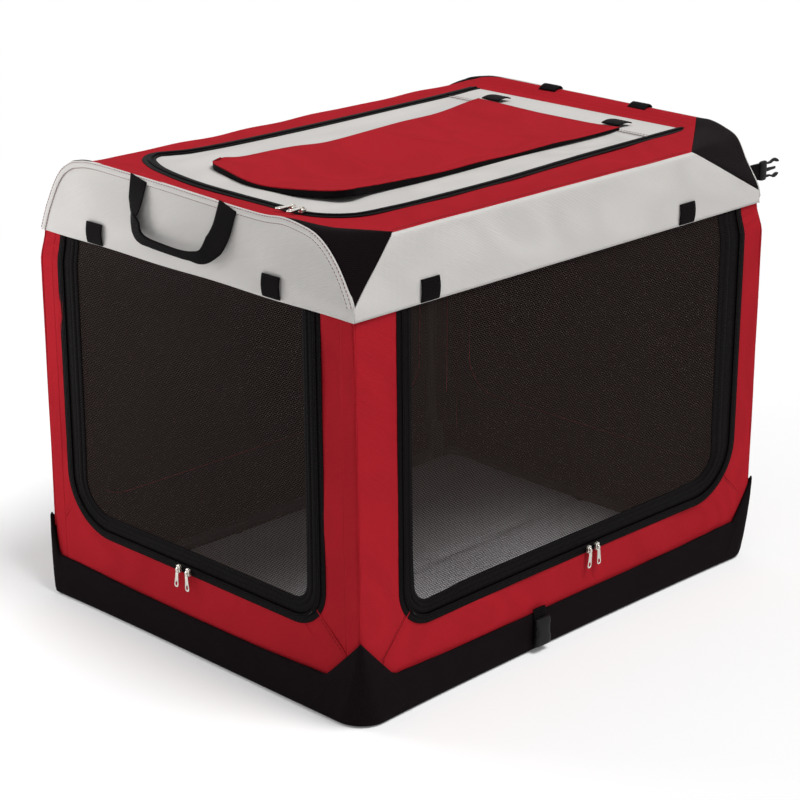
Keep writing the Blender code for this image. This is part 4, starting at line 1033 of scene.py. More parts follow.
class CRATE_OT_bands(bpy.types.Operator):
    """Build the grey bands round the top, their seam strips and the black corner patches"""

    bl_idname = "crate.bands"
    bl_label = "Bands and corners"

    def execute(self, context):
        self.end_band("front", to_front, -1, 41)
        self.end_band("rear", to_rear, 1, 42)
        self.side_band("right", to_right, 1, 43)
        self.side_band("left", to_left, -1, 44)
        for sx, sy in corners:
            self.patch(sx, sy)
        return {"FINISHED"}

    def end_band(self, end, place, sy, seed):
        """A grid between the band's straight foot and its curved upper edge."""
        s = sizes()
        u = band_x * np.sin(np.linspace(-quarter_turn, quarter_turn, 160))
        share = np.linspace(0, 1, 22)[None, :]
        foot = band_foot + 0.0006 * np.sin(u * 30)[:, None]
        z = foot + (end_top(-sy * u, sy)[:, None] - foot) * share
        wide = np.broadcast_to(u[:, None], z.shape)
        depth = slack(wide, z, seed, s.wave * 0.8) * hump(share, 0.6) + 0.0008 * (1 - share) ** 3
        sheet(f"{end}_band_cloth", place(wide, z, band_y + depth - 0.0002), "grey", "roof",
              [f"{end}_band"], shape=lift_band, thick=thin_cloth,
              flat=(2 * band_x, roof_z - band_foot + 0.012))

        line = spread(np.stack([u, end_top(-sy * u, sy)], -1)[3:-3], 220)[::-1]
        w = s.seam_strip
        profile = np.array([(-w, 0.0), (-w, 0.0009), (-w + 0.0008, 0.0015), (-w / 2, 0.0018),
                            (-0.0012, 0.0015), (0.0002, 0.0008), (0.0002, 0.0)])
        trim(f"{end}_seam_strip", line, profile, place, band_y, "roof", look="grey",
             shape=lift_band)
        for k, (inset, off) in enumerate(((0.0016, 0.0019), (w + 0.0004, 0.0012))):
            path = place(*(line - in_plane_normal(line) * inset).T, band_y + off)
            sew(f"{end}_strip_stitch_{k}", path, place(0, 0, 1), "grey_fabric", "roof", lift_band)

    def side_band(self, name, place, sx, seed):
        """A grid whose two ends slant from the bands' corners to the patches' tips."""
        share = np.linspace(0, 1, 26)[None, :]
        top = roof_z + float(roof_rise(np.array(sx * (band_x - 0.002)), np.array(0.0)))
        z = band_foot + (top - band_foot) * share
        ends = []
        for sy in (-sx, sx):
            tip, tail = patch_place(sx, sy)
            climb = np.clip((z - tail) / (top - tail), 0, 1)
            ends.append(sx * sy * (patch_front + (tip - patch_front) * climb))
        run = (1 + np.sin(np.linspace(-quarter_turn, quarter_turn, 150))[:, None]) / 2
        u = ends[0] + (ends[1] - ends[0]) * run
        z = z + 0 * u
        round_in = 0.007
        over = np.clip((z - (top - round_in)) / round_in, 0, 1)
        depth = slack(u, z, seed, sizes().wave) * hump(share, 0.6)
        depth = depth + 0.0008 * (1 - share) ** 3 - round_in * (1 - np.sqrt(1 - over**2)) * 0.35
        sheet(f"{name}_band_cloth", place(u, z, band_x + depth - 0.0002), "grey", "roof",
              [f"{name}_band"], shape=lift_band, thick=thin_cloth,
              flat=(2 * patch_front, top - band_foot + 0.001))

    def patch(self, sx, sy):
        """Straight lines from the end's curve to one point on the side, a little puffed. Its
        first line is the roof's edge, so it takes the roof's height, which fades from there."""
        tip_y, tail = patch_place(sx, sy)
        run = np.linspace(patch_start, band_x - 0.0004, 400)
        curve = np.stack([run, end_top(sx * run, sy)], -1)
        curve = spread(curve[curve[:, 1] > tail], 44)
        x0, z0 = curve[:, :1], curve[:, 1:]
        turn = np.linspace(quarter_turn, 0, 44)[:, None]
        share = np.linspace(0, 1, 30)[None, :]
        side_x = band_x - 0.0022
        tip_z = roof_z + float(roof_rise(np.array(sx * side_x), np.array(sy * tip_y))) + 0.0003
        puff = 0.0022 * np.sin(math.pi * share) * np.sin(turn * 2)
        x = x0 + (side_x - x0) * share + puff * np.cos(turn)
        y = band_y - 0.0004 + (tip_y - band_y + 0.0004) * share + 0 * x
        z = z0 + (tip_z - z0) * share
        extra = roof_z + roof_rise(sx * x[:1], sy * y[:1]) + 0.0002 - z[:1]
        z = z + puff * np.sin(turn) + extra * np.linspace(1, 0, 44)[:, None] ** 2
        name = f"{'front' if sy < 0 else 'rear'}_{'left' if sx < 0 else 'right'}"
        sheet(f"{name}_patch_cloth", np.stack([sx * x, sy * y, z], -1), "black", "roof",
              [f"{name}_roof_patch"], flip=(sx * sy > 0), shape=lift_band, thick=light_cloth,
              flat=(0.16, 0.10))


def hatch_line(rear, count):
    """The hatch's zip from the left end of the strip behind it, round the front, to the right
    end: a smooth line over listed points, as far back as the given place along Y."""
    points = [(-0.1970, 0.3620), (-0.1880, 0.2400), (-0.1820, 0.0900), (-0.1790, -0.0400),
              (-0.1800, -0.1650), (-0.1860, -0.2320), (-0.1970, -0.2620), (-0.2035, -0.2800),
              (-0.1960, -0.2980), (-0.1760, -0.3140), (-0.1280, -0.3330), (-0.0470, -0.3475),
              (0.0290, -0.3510), (0.0995, -0.3515), (0.1550, -0.3520), (0.1870, -0.3430),
              (0.2110, -0.3210), (0.2205, -0.2970), (0.2250, -0.2550), (0.2275, -0.2050),
              (0.2260, -0.0500), (0.2145, 0.1220), (0.2070, 0.3000), (0.2050, 0.3620)]
    line = smooth_path(points, 1600)
    return spread(line[line[:, 1] < rear], count)


def hatch_outline(spare, rear):
    """The hatch's closed outline up to a line behind it, spare wider than its zip."""
    line = hatch_line(rear, 420)
    return spread(line + in_plane_normal(line) * spare, 420, True)


class CRATE_OT_roof(bpy.types.Operator):
    """Build the red roof round the hatch"""

    bl_idname = "crate.roof"
    bl_label = "Roof"

    def execute(self, context):
        s = sizes()
        side = band_x - 0.0022
        # The roof's outline: the end's edge between two patches, then the tips of those patches
        tips = {corner: patch_place(*corner)[0] for corner in corners}
        outer = np.array([
            (-patch_start, -band_y), (patch_start, -band_y),
            (side, -tips[1, -1]), (side, tips[1, 1]),
            (patch_start, band_y), (-patch_start, band_y),
            (-side, tips[-1, 1]), (-side, -tips[-1, -1]),
        ])
        grid, share = ring_between(hatch_outline(0.0003, strip_rear), outer, 40)
        u, v = grid[..., 0], grid[..., 1]
        depth = slack(u, v, 55, s.wave) * hump(share, 0.6) - 0.0012 * (1 - share) ** 2
        depth = depth + roof_rise(u, v)
        sheet("roof_cloth", to_top(u, v, roof_z + depth), "red", "roof", ["roof_panel"], True, True,
              thick=s.cloth, lined=True, flat=(2 * side, 2 * band_y))
        for sx in (-1, 1):
            y = np.linspace(-tips[sx, -1] + 0.004, tips[sx, 1] - 0.004, 60)
            x = np.full(60, sx * (side - 0.0045))
            path = np.stack([x, y, roof_z + 0.0012 + roof_rise(x, y)], -1)
            sew(f"roof_edge_stitch_{'lr'[sx > 0]}", path, (0, 0, 1), "red_fabric", "roof")
        self.tube()
        return {"FINISHED"}

    def tube(self):
        """The steel ring under the roof: a rounded rectangle of round tube, sunk at the left
        shoulder and a little at the right rear corner, where the cloth is lower."""
        half_x, half_y, level, radius = 0.284, 0.390, 0.6337, 0.0077
        x, y = spread(round_corners((-half_x, -half_y), (half_x, half_y), (0.06,) * 4), 300, True).T
        z = level - 0.026 * np.clip((-x - 0.225) / 0.05, 0, 1) ** 1.2
        z = z - 0.025 * np.exp(-(((x - half_x) ** 2 + (y - half_y) ** 2) / 0.11**2))
        path = np.stack([x, y, z], -1)
        along = unit(np.roll(path, -1, 0) - np.roll(path, 1, 0))
        side = unit(np.cross(along, np.array([0.0, 0.0, 1.0])))
        grid = rings_along(path, side, np.cross(side, along), superellipse(radius, radius, 2, 16))
        skin("roof_ring_tube", grid, "tube", "roof", ["roof_frame"], around=True)


class CRATE_OT_hatch(bpy.types.Operator):
    """Build the grey hatch with its net, its zip and the red flap over it"""

    bl_idname = "crate.hatch"
    bl_label = "Hatch"

    def execute(self, context):
        whole, line = hatch_line(strip_rear, 400), hatch_line(hatch_rear, 320)
        # The tape along the hatch's edge in section: a stitched fold beside the coil
        w = -0.0085
        edge = np.array([(-0.0008, -0.0004), (w, -0.0006), (w, 0.0006), (w + 0.001, 0.0010),
                         (w + 0.0045, 0.0010), (w + 0.005, 0.0006), (w + 0.0055, 0.0010),
                         (-0.0008, 0.0008)])
        parts = [("hatch_zip_tape_cloth", whole, tape_profile(), "roof", ["hatch_zip_tape"]),
                 ("hatch_zip_outer_coil", whole, coil_profile(1), "roof", ()),
                 ("hatch_zip_inner_coil", line, coil_profile(-1), "hatch", ()),
                 ("hatch_edge_tape", line, edge, "hatch", ())]
        for k, part in enumerate((whole[whole[:, 0] < 0], whole[whole[:, 0] > 0])):
            part = spread(part[part[:, 1] > hatch_rear + 0.0012], 30)
            parts += [(f"strip_inner_coil_{k}", part, coil_profile(-1), "roof", ()),
                      (f"strip_edge_tape_{k}", part, edge, "roof", ())]
        for name, path, profile, body, nodes in parts:
            trim(name, path, profile, to_top, roof_z - 0.0006, body, nodes)
        self.panel()
        self.strip()
        self.flap()
        return {"FINISHED"}

    def panel(self):
        """The hatch's cloth between its net and its zip, and the net."""
        window = spread(round_corners((-0.092, -0.252), (0.132, 0.250), (0.02,) * 4), 260, True)
        grid, share = ring_between(window, hatch_outline(-0.0012, hatch_rear), 24)
        u, v = grid[..., 0], grid[..., 1]
        depth = slack(u, v, 61, sizes().wave) * hump(share, 0.6) - 0.0014
        sheet("hatch_cloth", to_top(u, v, roof_z + depth), "grey", "hatch", ["hatch_panel"],
              True, True, thick=thin_cloth, flat=(0.432, 0.626))
        net_piece("hatch_net", window, to_top, roof_z - 0.0026, 0.003, "hatch", ["hatch_mesh"])

    def strip(self):
        """The grey strip behind the hatch: a grid between the two ends of its zip."""
        v = np.linspace(hatch_rear + 0.0008, strip_rear, 14)[None, :]
        whole = hatch_line(0.3615, 1200)
        left = whole[(whole[:, 0] < 0) & (whole[:, 1] > 0.2)]
        right = whole[(whole[:, 0] > 0) & (whole[:, 1] > 0.2)]
        low = np.interp(v, left[::-1, 1], left[::-1, 0]) + 0.0012
        high = np.interp(v, right[:, 1], right[:, 0]) - 0.0012
        u = low + (high - low) * np.linspace(0, 1, 70)[:, None]
        v = v + 0 * u
        depth = slack(u, v, 63, sizes().wave) * np.sin(math.pi * (v - v.min()) / np.ptp(v)) - 0.0010
        sheet("hatch_rear_strip", to_top(u, v, roof_z + depth + roof_rise(u, v) * 0.6), "grey",
              "roof", thick=thin_cloth, flat=(0.40, 0.075))
        x = np.linspace(-0.180, 0.200, 80)
        for k, (body, aside) in enumerate((("roof", 0.004), ("hatch", -0.004))):
            line = to_top(x, hatch_rear + aside, roof_z + 0.0004)
            sew(f"hatch_seam_stitch_{k}", line, (0, 0, 1), "grey_fabric", body)

    def flap(self):
        """The flap's sides are smooth lines from its seam to its front corners. Its front bows
        forward as a root of a sine and curls up, as its right side does."""
        left = smooth_path([
            (-0.127, flap_rear), (-0.106, 0.151), (-0.093, 0.030), (-0.086, -0.068),
            (-0.101, -0.125), (-0.0965, -0.216), (-0.107, -0.243), (-0.098, -0.262)], 90)
        right = smooth_path([
            (0.147, flap_rear), (0.151, 0.150), (0.156, 0.000), (0.158, -0.120),
            (0.162, -0.217), (0.172, -0.268)], 90)
        share = np.linspace(0, 1, 70)[None, :]
        u, v = (left[:, k, None] + (right[:, k, None] - left[:, k, None]) * share for k in (0, 1))
        ahead = np.clip((flap_rear - v) / (flap_rear - left[-1, 1]), 0, 1)
        v = v - 0.042 * hump(share, 0.38) * ahead**5 + 0.0015 * np.sin(share * 11) * ahead**6
        curl = 1 + 0.45 * np.sin(share * 8 + 0.6)
        lift = 0.0022 + slack(u, v, 77, 0.0013)
        lift = lift + 0.0060 * ahead**9 * curl + 0.0050 * share**10 * (0.35 + ahead * curl)
        # Three soft folds across it, each along a slanted line
        across = np.sin(math.pi * share)
        for slope, at, depth in ((0.10, 0.03, 0.0016), (-0.35, -0.11, 0.0013),
                                 (0.55, 0.10, 0.0012)):
            lift = lift + depth * np.exp(-(((v - slope * u - at) / 0.008) ** 2)) * across
        grid = to_top(u, v, roof_z + np.maximum(lift, 0.0012))
        thing = sheet("hatch_flap_cloth", grid, "red", "hatch_flap", ["hatch_flap"],
                      thick=light_cloth, lined=True)
        # A black strip round the flap's rim: partly its binding, and partly painted shade, since it
        # hangs down as far as the flap is lifted and fills the gap under its edge down to the roof
        border = spread(np.concatenate([grid[:, 0], grid[-1, 1:], grid[::-1, -1][1:]]), 260)
        shade_drop = np.clip(border[:, 2] - roof_z + 0.0004, 0.0018, 0.0095)
        rim = border + unit(border.mean(0) - border) * 0.0008
        rim = rim - np.array([0, 0, 1]) * (0.0006 + shade_drop / 2)[:, None]
        skin("hatch_flap_edging_and_gap_shade", strap_grid(rim, (0, 0, 1), shade_drop, 0.0018, 3, 10), "webbing",
             "hatch_flap", slot="binding")


class CRATE_OT_handles(bpy.types.Operator):
    """Build the two webbing handles and the straps that hold them"""

    bl_idname = "crate.handles"
    bl_label = "Handles"

    def execute(self, context):
        self.loop("front", -1)
        self.loop("rear", 1)
        self.tails()
        return {"FINISHED"}

    def loop(self, end, sy):
        """One length of webbing along a smooth U: edge-on down its left arm, gathered in its
        grip and flat down its right arm. What hangs below the pivot is the handle, and the rest
        is the straps that hold it. Each point's width, turn and thickness run evenly."""
        joint = next(j for j in frame["joints"] if j["name"] == f"{end}_handle_lift")
        left, right = (float(end_top(-sy * x, sy)) - 0.002 for x in (-0.0882, 0.0857))
        path = smooth_path([
            (-0.0882, 0.0018, left), (-0.0957, 0.0045, 0.6205), (-0.0990, 0.0060, 0.6052),
            (-0.0913, 0.0080, 0.5899), (-0.0769, 0.0130, 0.5801), (-0.0538, 0.0160, 0.5770),
            (0.0001, 0.0180, 0.5755), (0.0267, 0.0170, 0.5760), (0.0500, 0.0150, 0.5795),
            (0.0655, 0.0100, 0.5960), (0.0752, 0.0050, 0.6160), (0.0857, 0.0018, right)], 180)
        at = np.linspace(0, 11, 180)
        # Width and thickness in mm and turn in degrees, at each of the path's points
        width, fat, turn = (np.interp(at, np.arange(12), values) for values in (
            (33, 33, 33, 30, 16, 11, 10, 12, 20, 33, 33, 33),
            (2.2, 2.2, 2.2, 2.6, 4.2, 5.2, 5.2, 4.6, 3.2, 2.2, 2.2, 2.2),
            (0, -13, -33, -12, -3, 0, 0, 0, 0, 0, 0, 0)))
        turn = np.radians(turn)
        flat = in_plane_normal(path[:, ::2])
        across = np.stack([flat[:, 0] * np.cos(turn), np.sin(turn), flat[:, 1] * np.cos(turn)], -1)
        path[:, 1] += band_y
        turned = np.array([-sy, sy, 1])
        grid = strap_grid(path * turned, across * turned, width / 1000, fat / 1000)
        hung = np.flatnonzero(path[:, 2] < joint["pos_m"][2])
        node = f"{end}_handle"
        for name, part, body, nodes in (
            ("webbing", grid[hung[0] : hung[-1] + 1], node, [node]),
            ("strap_l", grid[: hung[0] + 1], "roof", ()),
            ("strap_r", grid[hung[-1] :], "roof", ()),
        ):
            skin(f"{node}_{name}", part, "webbing", body, nodes)

    def tails(self):
        """The rear straps' ends, sewn over the roof's edge."""
        for k, x in enumerate((0.0882, -0.0857)):
            top = float(end_top(x, 1))
            over = smooth_path([(x, band_y + out, top + up) for out, up in (
                (-0.016, -0.001), (-0.009, 0.003), (-0.001, 0.004), (0.0035, -0.006))], 24)
            grid = strap_grid(over, (1, 0, 0), handle_width, sizes().webbing)
            skin(f"rear_handle_tail_{k}", grid, "webbing", "roof")


class CRATE_OT_tabs(bpy.types.Operator):
    """Build the short webbing tabs that hold the rolled doors and hatch"""

    bl_idname = "crate.tabs"
    bl_label = "Holding tabs"

    def execute(self, context):
        for kind, place, face, spots in (
            ("front", to_front, band_y, (-0.186, 0.163)),
            ("rear", to_rear, band_y, (-0.163, 0.186)),
            ("right", to_right, band_x, (-0.275, 0.233)),
            ("left", to_left, band_x, (-0.233, 0.275)),
        ):
            for k, at in enumerate(spots):
                self.tab(f"{kind}_tab_{k}", place, face + 0.0004, at, band_foot + 0.002, lift_band)
        for k, (x, y) in enumerate(((-0.110, 0.286), (0.126, 0.284))):
            self.tab(f"hatch_tab_{k}", to_top, roof_z + 0.0022, x, y, None)
        return {"FINISHED"}

    def tab(self, name, place, face, at, foot, shape):
        """A folded strip: it bows off the cloth between its two sewn ends, as a root of a sine."""
        s = sizes()

        def off(share):
            return face + 0.0014 + 0.0022 * np.sin(math.pi * share) ** 0.8

        run = np.linspace(0, 1, 24)
        path = place(at, foot + s.tab_height * run, off(run))
        skin(name, strap_grid(path, place(1, 0, 0), s.tab_width, s.webbing), "webbing", "roof",
             shape=shape)
        u = np.linspace(at - s.tab_width * 0.42, at + s.tab_width * 0.42, 12)
        for k, share in enumerate((0.10, 0.90)):
            line = place(u, foot + s.tab_height * share, off(share) + s.webbing / 2)
            sew(f"{name}_stitch_{k}", line, place(0, 0, 1), "webbing", "roof", shape)


class CRATE_OT_sliders(bpy.types.Operator):
    """Build the six zip sliders and their pulls"""

    bl_idname = "crate.sliders"
    bl_label = "Zip sliders"

    def execute(self, context):
        sink = fold_to()
        # Each kind's face, the axis off it, and which side of the slider's box lies on it
        for kind, place, axis, seat_side in (("front", to_front, 1, 1), ("side", to_right, 0, 0),
                                             ("hatch", to_top, 2, 0)):
            for side, lean in (("left", 0.10), ("right", -0.06)):
                node = f"{kind}_{side}_slider"
                box = np.array([list(v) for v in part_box(node)])
                seat = box.mean(0)
                seat[axis] = box[seat_side, axis]

                def put(points):
                    return seat + place(points[..., 0], points[..., 1], points[..., 2])

                shape = sink if kind == "side" else None
                self.slider(node, put, shape)
                self.pull(node, put, lean, shape)
        return {"FINISHED"}

    def slider(self, node, put, shape):
        """A slider: an hourglass plate over and under a waist, and an arched bridge on top."""
        half_w, half_l = 0.0042, 0.0056
        plate = superellipse(half_w, half_l, 3.2, 40)
        plate[:, 0] *= 1 - 0.20 * np.cos(plate[:, 1] / half_l * quarter_turn) ** 2
        rings = [put(np.column_stack([plate * size, np.full(40, height)])) for height, size in (
            (0.0002, 0.86), (0.0006, 1), (0.0016, 1), (0.0019, 0.80), (0.0031, 0.80), (0.0034, 1),
            (0.0044, 1), (0.0049, 0.88))]
        skin(node + "_body", np.stack(rings), "nickel", node, [node], sharp=True, shape=shape)
        arch = np.linspace(0, math.pi, 18)
        path = np.column_stack([0 * arch, 0.0036 * np.cos(arch) - 0.0008,
                                0.0046 + 0.0030 * np.sin(arch)])
        grid = strap_grid(path, (1, 0, 0), 0.0030, 0.0011, 3, 12)
        skin(node + "_bridge", put(grid), "nickel", node, shape=shape)

    def pull(self, node, put, lean, shape):
        """A pull: a flat tapered plate with a round hole at its foot, and an eye at its head."""
        long, half_w, hole, half = 0.0235, 0.0043, 0.0021, 0.0008
        outer = round_corners((-half_w, -long), (half_w, 0), (0.0040, 0.0040, 0.0022, 0.0022))
        outer = spread(outer, 64, True)
        outer[:, 0] *= 1 - 0.34 * np.clip((outer[:, 1] + long) / long * 1.3, 0, 1)
        inner = spread(round_corners((-hole, -long + 0.0022), (hole, -long + 0.0078),
                                     (hole * 0.95,) * 4), 64, True)
        grid = np.stack([
            np.column_stack([inner + (outer - inner) * share, np.full(64, height * half)])
            for share, height in ((0, -0.5), (0.2, -1), (0.85, -1), (1, -0.5), (1, 0.5), (0.85, 1),
                                  (0.2, 1), (0, 0.5))], 1)
        grid[..., 0] += lean * grid[..., 1]
        head = 0.0062
        skin(node + "_pull_plate", put(grid + np.array([0, -0.0032, head])), "nickel",
             node + "_pull", [node + "_pull"], around=True, shape=shape)
        bend = np.linspace(0, full_turn, 25)[:-1]
        eye = np.stack([0 * bend, 0.0019 * np.cos(bend) - 0.0020, head + 0.0014 * np.sin(bend)], -1)
        out = np.column_stack([0 * bend, circle(bend)])
        aside = np.tile((1, 0, 0), (len(bend), 1))
        grid = rings_along(eye, aside, out, superellipse(0.0016, 0.0005, 3, 10))
        skin(node + "_pull_eye", put(grid), "nickel", node + "_pull", around=True, shape=shape)


def ringed(name, sections, place, node):
    """A moulding as rounded rings: sections are each ring's own size and its place along it."""
    rings = [place(superellipse(*half, power, count), along)
             for half, power, count, along in sections]
    skin(name, np.stack(rings), "plastic", node, [node], sharp=True)


class CRATE_OT_buckles(bpy.types.Operator):
    """Build the buckle's two halves and the straps they hang on"""

    bl_idname = "crate.buckles"
    bl_label = "Buckle"

    def execute(self, context):
        self.socket()
        self.plug()
        return {"FINISHED"}

    def socket(self):
        """The socket: rounded sections down its length, waisted at the release windows, and a
        mouth that turns back in."""
        low, high = (np.array(v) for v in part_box("buckle_socket"))
        x, y, _ = (low + high) / 2
        half_x, half_y, _ = (high - low) / 2
        tall = high[2] - low[2]
        ringed("buckle_socket_shell", [
            ((half_y * wide, half_x * deep), 4.5, 44, low[2] + tall * share)
            for share, wide, deep in (
                (1.0, 0.80, 0.45), (0.985, 0.9, 0.62), (0.90, 0.95, 0.80), (0.78, 0.98, 0.92),
                (0.70, 0.90, 0.95), (0.60, 0.80, 0.98), (0.48, 0.80, 1.0), (0.38, 0.90, 1.0),
                (0.30, 1.0, 1.0), (0.10, 1.0, 0.98), (0.01, 0.97, 0.92), (0.0, 0.92, 0.82),
                (0.0, 0.68, 0.52), (0.02, 0.64, 0.48), (0.30, 0.60, 0.44))
        ], lambda ring, z: to_right(y + ring[:, 0], z, x + ring[:, 1]), "buckle_socket")
        for k, way in enumerate((-1, 1)):
            z = np.linspace(low[2] + 0.016, low[2] + 0.026, 14)
            bow = 0.0012 * np.sin(np.linspace(0, math.pi, 14))
            path = to_right(y + way * (half_y * 0.80 + bow), z, x)
            grid = strap_grid(path, (1, 0, 0), 0.0052, 0.0024, 4, 16)
            skin(f"buckle_release_{k}", grid, "plastic", "buckle_socket")
        strap_low, strap_high = (np.array(v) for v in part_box("socket_strap"))
        x, y, _ = (strap_low + strap_high) / 2
        path = smooth_path([
            (x - 0.001, y, strap_high[2] + 0.006), (x, y, strap_high[2]),
            (x + 0.0008, y, strap_low[2] + 0.004), (x + 0.0022, y, high[2] - 0.003)], 24)
        grid = strap_grid(path, (0, 1, 0), buckle_width, sizes().webbing)
        skin("socket_strap_webbing", grid, "webbing", "base", ["socket_strap"])

    def plug(self):
        """The plug, upright at its strap's end: a crosspiece with two springy prongs and a
        guide tongue between them."""
        low, high = (np.array(v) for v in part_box("buckle_plug"))
        flat, _, level = (low + high) / 2
        thick, _, half = (high - low) / 2
        root, reach = low[1], high[1] - low[1]
        ringed("buckle_plug_bar", [
            ((thick * deep, half * wide), 5, 40, root + run)
            for run, wide, deep in ((0.0, 0.86, 0.6), (0.001, 0.94, 0.85), (0.006, 1.0, 1.0),
                                    (0.012, 1.0, 1.0), (0.0142, 0.96, 0.85), (0.0148, 0.86, 0.6))
        ], lambda ring, run: to_right(run, level + ring[:, 1], flat + ring[:, 0]), "buckle_plug")
        fat = np.interp(np.linspace(0, 1, 30), (0, 0.4, 0.62, 0.8, 1),
                        (0.003, 0.0028, 0.0052, 0.005, 0.002))
        for k, way in enumerate((-1, 1)):
            path = smooth_path([(flat, run, level + way * half * wide) for run, wide in (
                (root + 0.013, 0.70), (root + reach * 0.55, 0.66), (root + reach * 0.76, 0.84),
                (root + reach * 0.90, 0.74), (high[1], 0.62))], 30)
            skin(f"buckle_prong_{k}", strap_grid(path, (1, 0, 0), 2 * thick * 0.8, fat, 4, 18),
                 "plastic", "buckle_plug")
        path = to_right(np.linspace(root + 0.013, root + reach * 0.86, 16), level, flat)
        grid = strap_grid(path, (1, 0, 0), 0.0026, np.linspace(0.0062, 0.0036, 16), 4, 16)
        skin("buckle_tongue", grid, "plastic", "buckle_plug")
        strap_low, strap_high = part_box("plug_strap")
        y = np.linspace(strap_low[1] - 0.0008, root + 0.004, 30)
        path = to_right(y, level, flat - 0.0012 * np.sin(math.pi * np.linspace(0, 1, 30)))
        grid = strap_grid(path, (0, 0, 1), buckle_width, sizes().webbing)
        skin("plug_strap_webbing", grid, "webbing", "roof", ["plug_strap"],
             shape=fold_to())


class CRATE_OT_mat(bpy.types.Operator):
    """Build the padded floor mat"""

    bl_idname = "crate.mat"
    bl_label = "Floor mat"

    def execute(self, context):
        foot = mat_low[2]
        thing = self.block(np.array([mat_high[0], mat_high[1]]) - 0.002, foot)
        self.puff(thing, foot)
        self.press_folds(thing, foot)
        for face in thing.data.polygons:
            face.use_smooth = True
        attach(thing, "base")
        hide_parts("floor_mat")
        return {"FINISHED"}

    def block(self, half, foot):
        """A flat pad: rounded rings from its foot's middle, round its edge, to its top's middle.
        Its sides are drawn in along their middles, as one less the square of the way along."""
        tall = mat_high[2] - foot - 0.004
        wide = half[0]
        rings = []
        for height, inset in ((0, wide * 0.98), (0, wide * 0.6), (0, wide * 0.3), (0, 0.006),
                              (0.004, 0.0), (tall - 0.004, 0.0), (tall, 0.006),
                              (tall + 0.001, wide * 0.3), (tall + 0.002, wide * 0.6),
                              (tall + 0.002, wide * 0.98)):
            radii = (max(0.03 - inset, 0.002),) * 4
            ring = spread(round_corners(inset - half, half - inset, radii), 240, True)
            pull = 0.006 * (1 - np.clip(ring / half, -1, 1) ** 2)[:, ::-1]
            rings.append(np.column_stack([ring * (1 - pull / half), np.full(240, foot + height)]))
        mesh = grid_mesh("floor_mat_pad", capped(np.stack(rings)), closed=True)
        mesh.materials.append(looks["mat"])
        return show("floor_mat_pad", mesh)

    def puff(self, thing, foot):
        """Fills the pad by a short cloth simulation, keeps its foot on the board and caps how
        far each point moves."""
        bpy.context.view_layer.objects.active = thing
        thing.select_set(True)
        thing.data.remesh_voxel_size = 0.006
        bpy.ops.object.voxel_remesh()
        before = places(thing.data)
        cloth = thing.modifiers.new("filling", "CLOTH")
        cloth.settings.use_pressure = True
        cloth.settings.uniform_pressure_force = 4
        cloth.settings.effector_weights.gravity = 0
        cloth.point_cache.frame_start = 1
        cloth.point_cache.frame_end = 20
        for step in range(1, 21):
            bpy.context.scene.frame_set(step)
        shaped = thing.evaluated_get(bpy.context.evaluated_depsgraph_get())
        move = places(shaped.data) - before
        far = np.linalg.norm(move, axis=1)[:, None]
        placed = before + move * np.minimum(1, 0.004 / np.maximum(far, 1e-9))
        placed[:, 2] = np.clip(placed[:, 2], foot, mat_high[2])
        thing.modifiers.remove(cloth)
        bpy.context.scene.frame_set(1)
        move_to(thing.data, placed)

    def press_folds(self, thing, foot):
        """Soft creases where the mat is folded for storage: narrow dips along four lines, each
        where its two factors times X and Y and a third number add up to nothing."""
        place = places(thing.data)
        x, y, z = place.T
        dip = 0
        for a, b, c, depth, wide in (
            (1.0, 0.04, -0.035, 0.0055, 0.010), (0.1, 1.0, 0.13, 0.003, 0.006),
            (0.72, -0.69, -0.30, 0.0035, 0.008), (0.9, 0.43, 0.14, 0.003, 0.007),
        ):
            dip = dip + depth * np.exp(-(((a * x + b * y + c) / wide) ** 2))
        place[:, 2] = z - dip * np.clip((z - foot) / (mat_high[2] - foot), 0, 1)
        move_to(thing.data, place)


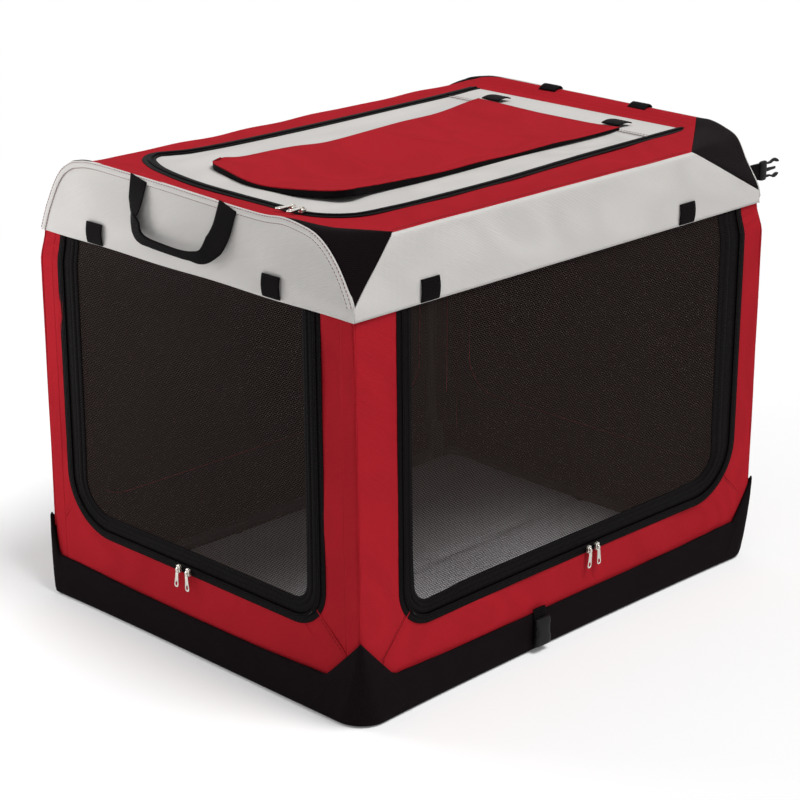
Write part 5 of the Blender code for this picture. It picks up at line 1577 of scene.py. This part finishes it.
class CRATE_OT_stage(bpy.types.Operator):
    """Set the floor, the light and the camera"""

    bl_idname = "crate.stage"
    bl_label = "Stage"

    def execute(self, context):
        scene = context.scene
        scene.view_settings.view_transform = "Standard"
        self.floor(scene)
        self.world(scene)
        key = self.lamp("key_light", "SUN", 2.45, (0.46, 0.10, 0.90))
        key.data.angle = math.radians(28)
        # A soft lamp at the front left, near enough that its light falls off along the front
        soft = self.lamp("side_softbox", "AREA", 4.4, (-0.48, -0.46, 0.14))
        soft.data.size = 0.5
        soft.location = (-0.78, -0.88, 0.62)
        self.camera(scene)
        return {"FINISHED"}

    def floor(self, scene):
        """A wide round floor that glows a little to the camera, so it fades to white."""
        turn = np.linspace(0, full_turn, 97)[:-1]
        radius = np.array([0.0, 0.4, 0.8, 1.2, 2.0, 4.0, 8.0])
        flat = circle(turn)[:, None] * radius[None, :, None]
        grid = np.concatenate([flat, np.full((*flat.shape[:2], 1), -0.0004)], -1)
        mesh = grid_mesh("studio_floor", grid, around=True, flip=True)
        look, tree, shader = new_look("studio_paper", 0.9, 0.0)
        shader.inputs["Base Color"].default_value = tuple(scene.crate_colours.floor)
        glow = add(tree, "ShaderNodeMath", {"operation": "MULTIPLY"},
                   {0: self.seen(tree, "Is Camera Ray", "Is Glossy Ray"), 1: 0.10})
        tree.links.new(glow.outputs[0], shader.inputs["Emission Strength"])
        shader.inputs["Emission Color"].default_value = (1, 1, 1, 1)
        mesh.materials.append(look)
        show("studio_floor", mesh)

    def seen(self, tree, *rays):
        """One for the named kinds of ray, and nothing for the rest."""
        path = add(tree, "ShaderNodeLightPath")
        total = path.outputs[rays[0]]
        for ray in rays[1:]:
            total = add(tree, "ShaderNodeMath", {"operation": "MAXIMUM"},
                        {0: total, 1: path.outputs[ray]}).outputs[0]
        return total

    def world(self, scene):
        """Even light on the crate, and plain white where the camera sees past it."""
        world = scene.world = bpy.data.worlds.new("studio")
        world.use_nodes = True
        tree = world.node_tree
        level = add(tree, "ShaderNodeMapRange", None, {
            "Value": self.seen(tree, "Is Camera Ray", "Is Glossy Ray", "Is Transmission Ray"),
            "To Min": 0.33, "To Max": 1.0})
        back = tree.nodes["Background"]
        back.inputs["Color"].default_value = (1, 1, 1, 1)
        tree.links.new(level.outputs[0], back.inputs["Strength"])

    def lamp(self, name, kind, energy, back):
        """A lamp that shines from the given direction."""
        data = bpy.data.lights.new(name, kind)
        data.energy = energy
        lamp = show(name, data)
        lamp.rotation_euler = Vector(back).to_track_quat("Z", "Y").to_euler()
        return lamp

    def camera(self, scene):
        """The photograph's view: a long lens, turned 44.8 degrees and 19.6 degrees up. Its place
        and aim are in heights of the crate."""
        around, above = math.radians(44.7586), math.radians(19.5633)
        away = 4.8498 * roof_z
        aim = Vector((0.1488 * roof_z, -0.175 * roof_z, 0.5 * roof_z))
        back = Vector((math.sin(around) * math.cos(above), -math.cos(around) * math.cos(above),
                       math.sin(above)))
        data = bpy.data.cameras.new("photo_camera")
        data.lens = 102.66
        data.sensor_width = 36
        data.clip_end = 50
        camera = show("photo_camera", data)
        camera.location = aim + back * away
        camera.rotation_euler = back.to_track_quat("Z", "Y").to_euler()
        scene.camera = camera


steps = (
    CRATE_OT_looks, CRATE_OT_stage, CRATE_OT_frame, CRATE_OT_tray, CRATE_OT_mat, CRATE_OT_walls,
    CRATE_OT_windows, CRATE_OT_doors, CRATE_OT_roof, CRATE_OT_hatch, CRATE_OT_bands,
    CRATE_OT_tabs, CRATE_OT_handles, CRATE_OT_sliders, CRATE_OT_buckles,
)


class CRATE_PT_panel(bpy.types.Panel):
    """The crate's steps, sizes and colours"""

    bl_idname = "CRATE_PT_panel"
    bl_label = "Dog crate"
    bl_space_type = "VIEW_3D"
    bl_region_type = "UI"
    bl_category = "Dog Crate"

    def draw(self, context):
        column = self.layout.column()
        for step in steps:
            column.operator(step.bl_idname)
        for group in (context.scene.crate_sizes, context.scene.crate_colours):
            for name in group.__annotations__:
                column.prop(group, name)


classes = (CrateSizes, CrateColours) + steps + (CRATE_PT_panel,)


def register():
    for each in classes:
        bpy.utils.register_class(each)
    bpy.types.Scene.crate_sizes = PointerProperty(type=CrateSizes)
    bpy.types.Scene.crate_colours = PointerProperty(type=CrateColours)


def unregister():
    del bpy.types.Scene.crate_colours
    del bpy.types.Scene.crate_sizes
    for each in reversed(classes):
        bpy.utils.unregister_class(each)


def main():
    """Runs every step in order."""
    register()
    for step in steps:
        group, name = step.bl_idname.split(".")
        getattr(getattr(bpy.ops, group), name)()


if __name__ == "__main__":
    main()
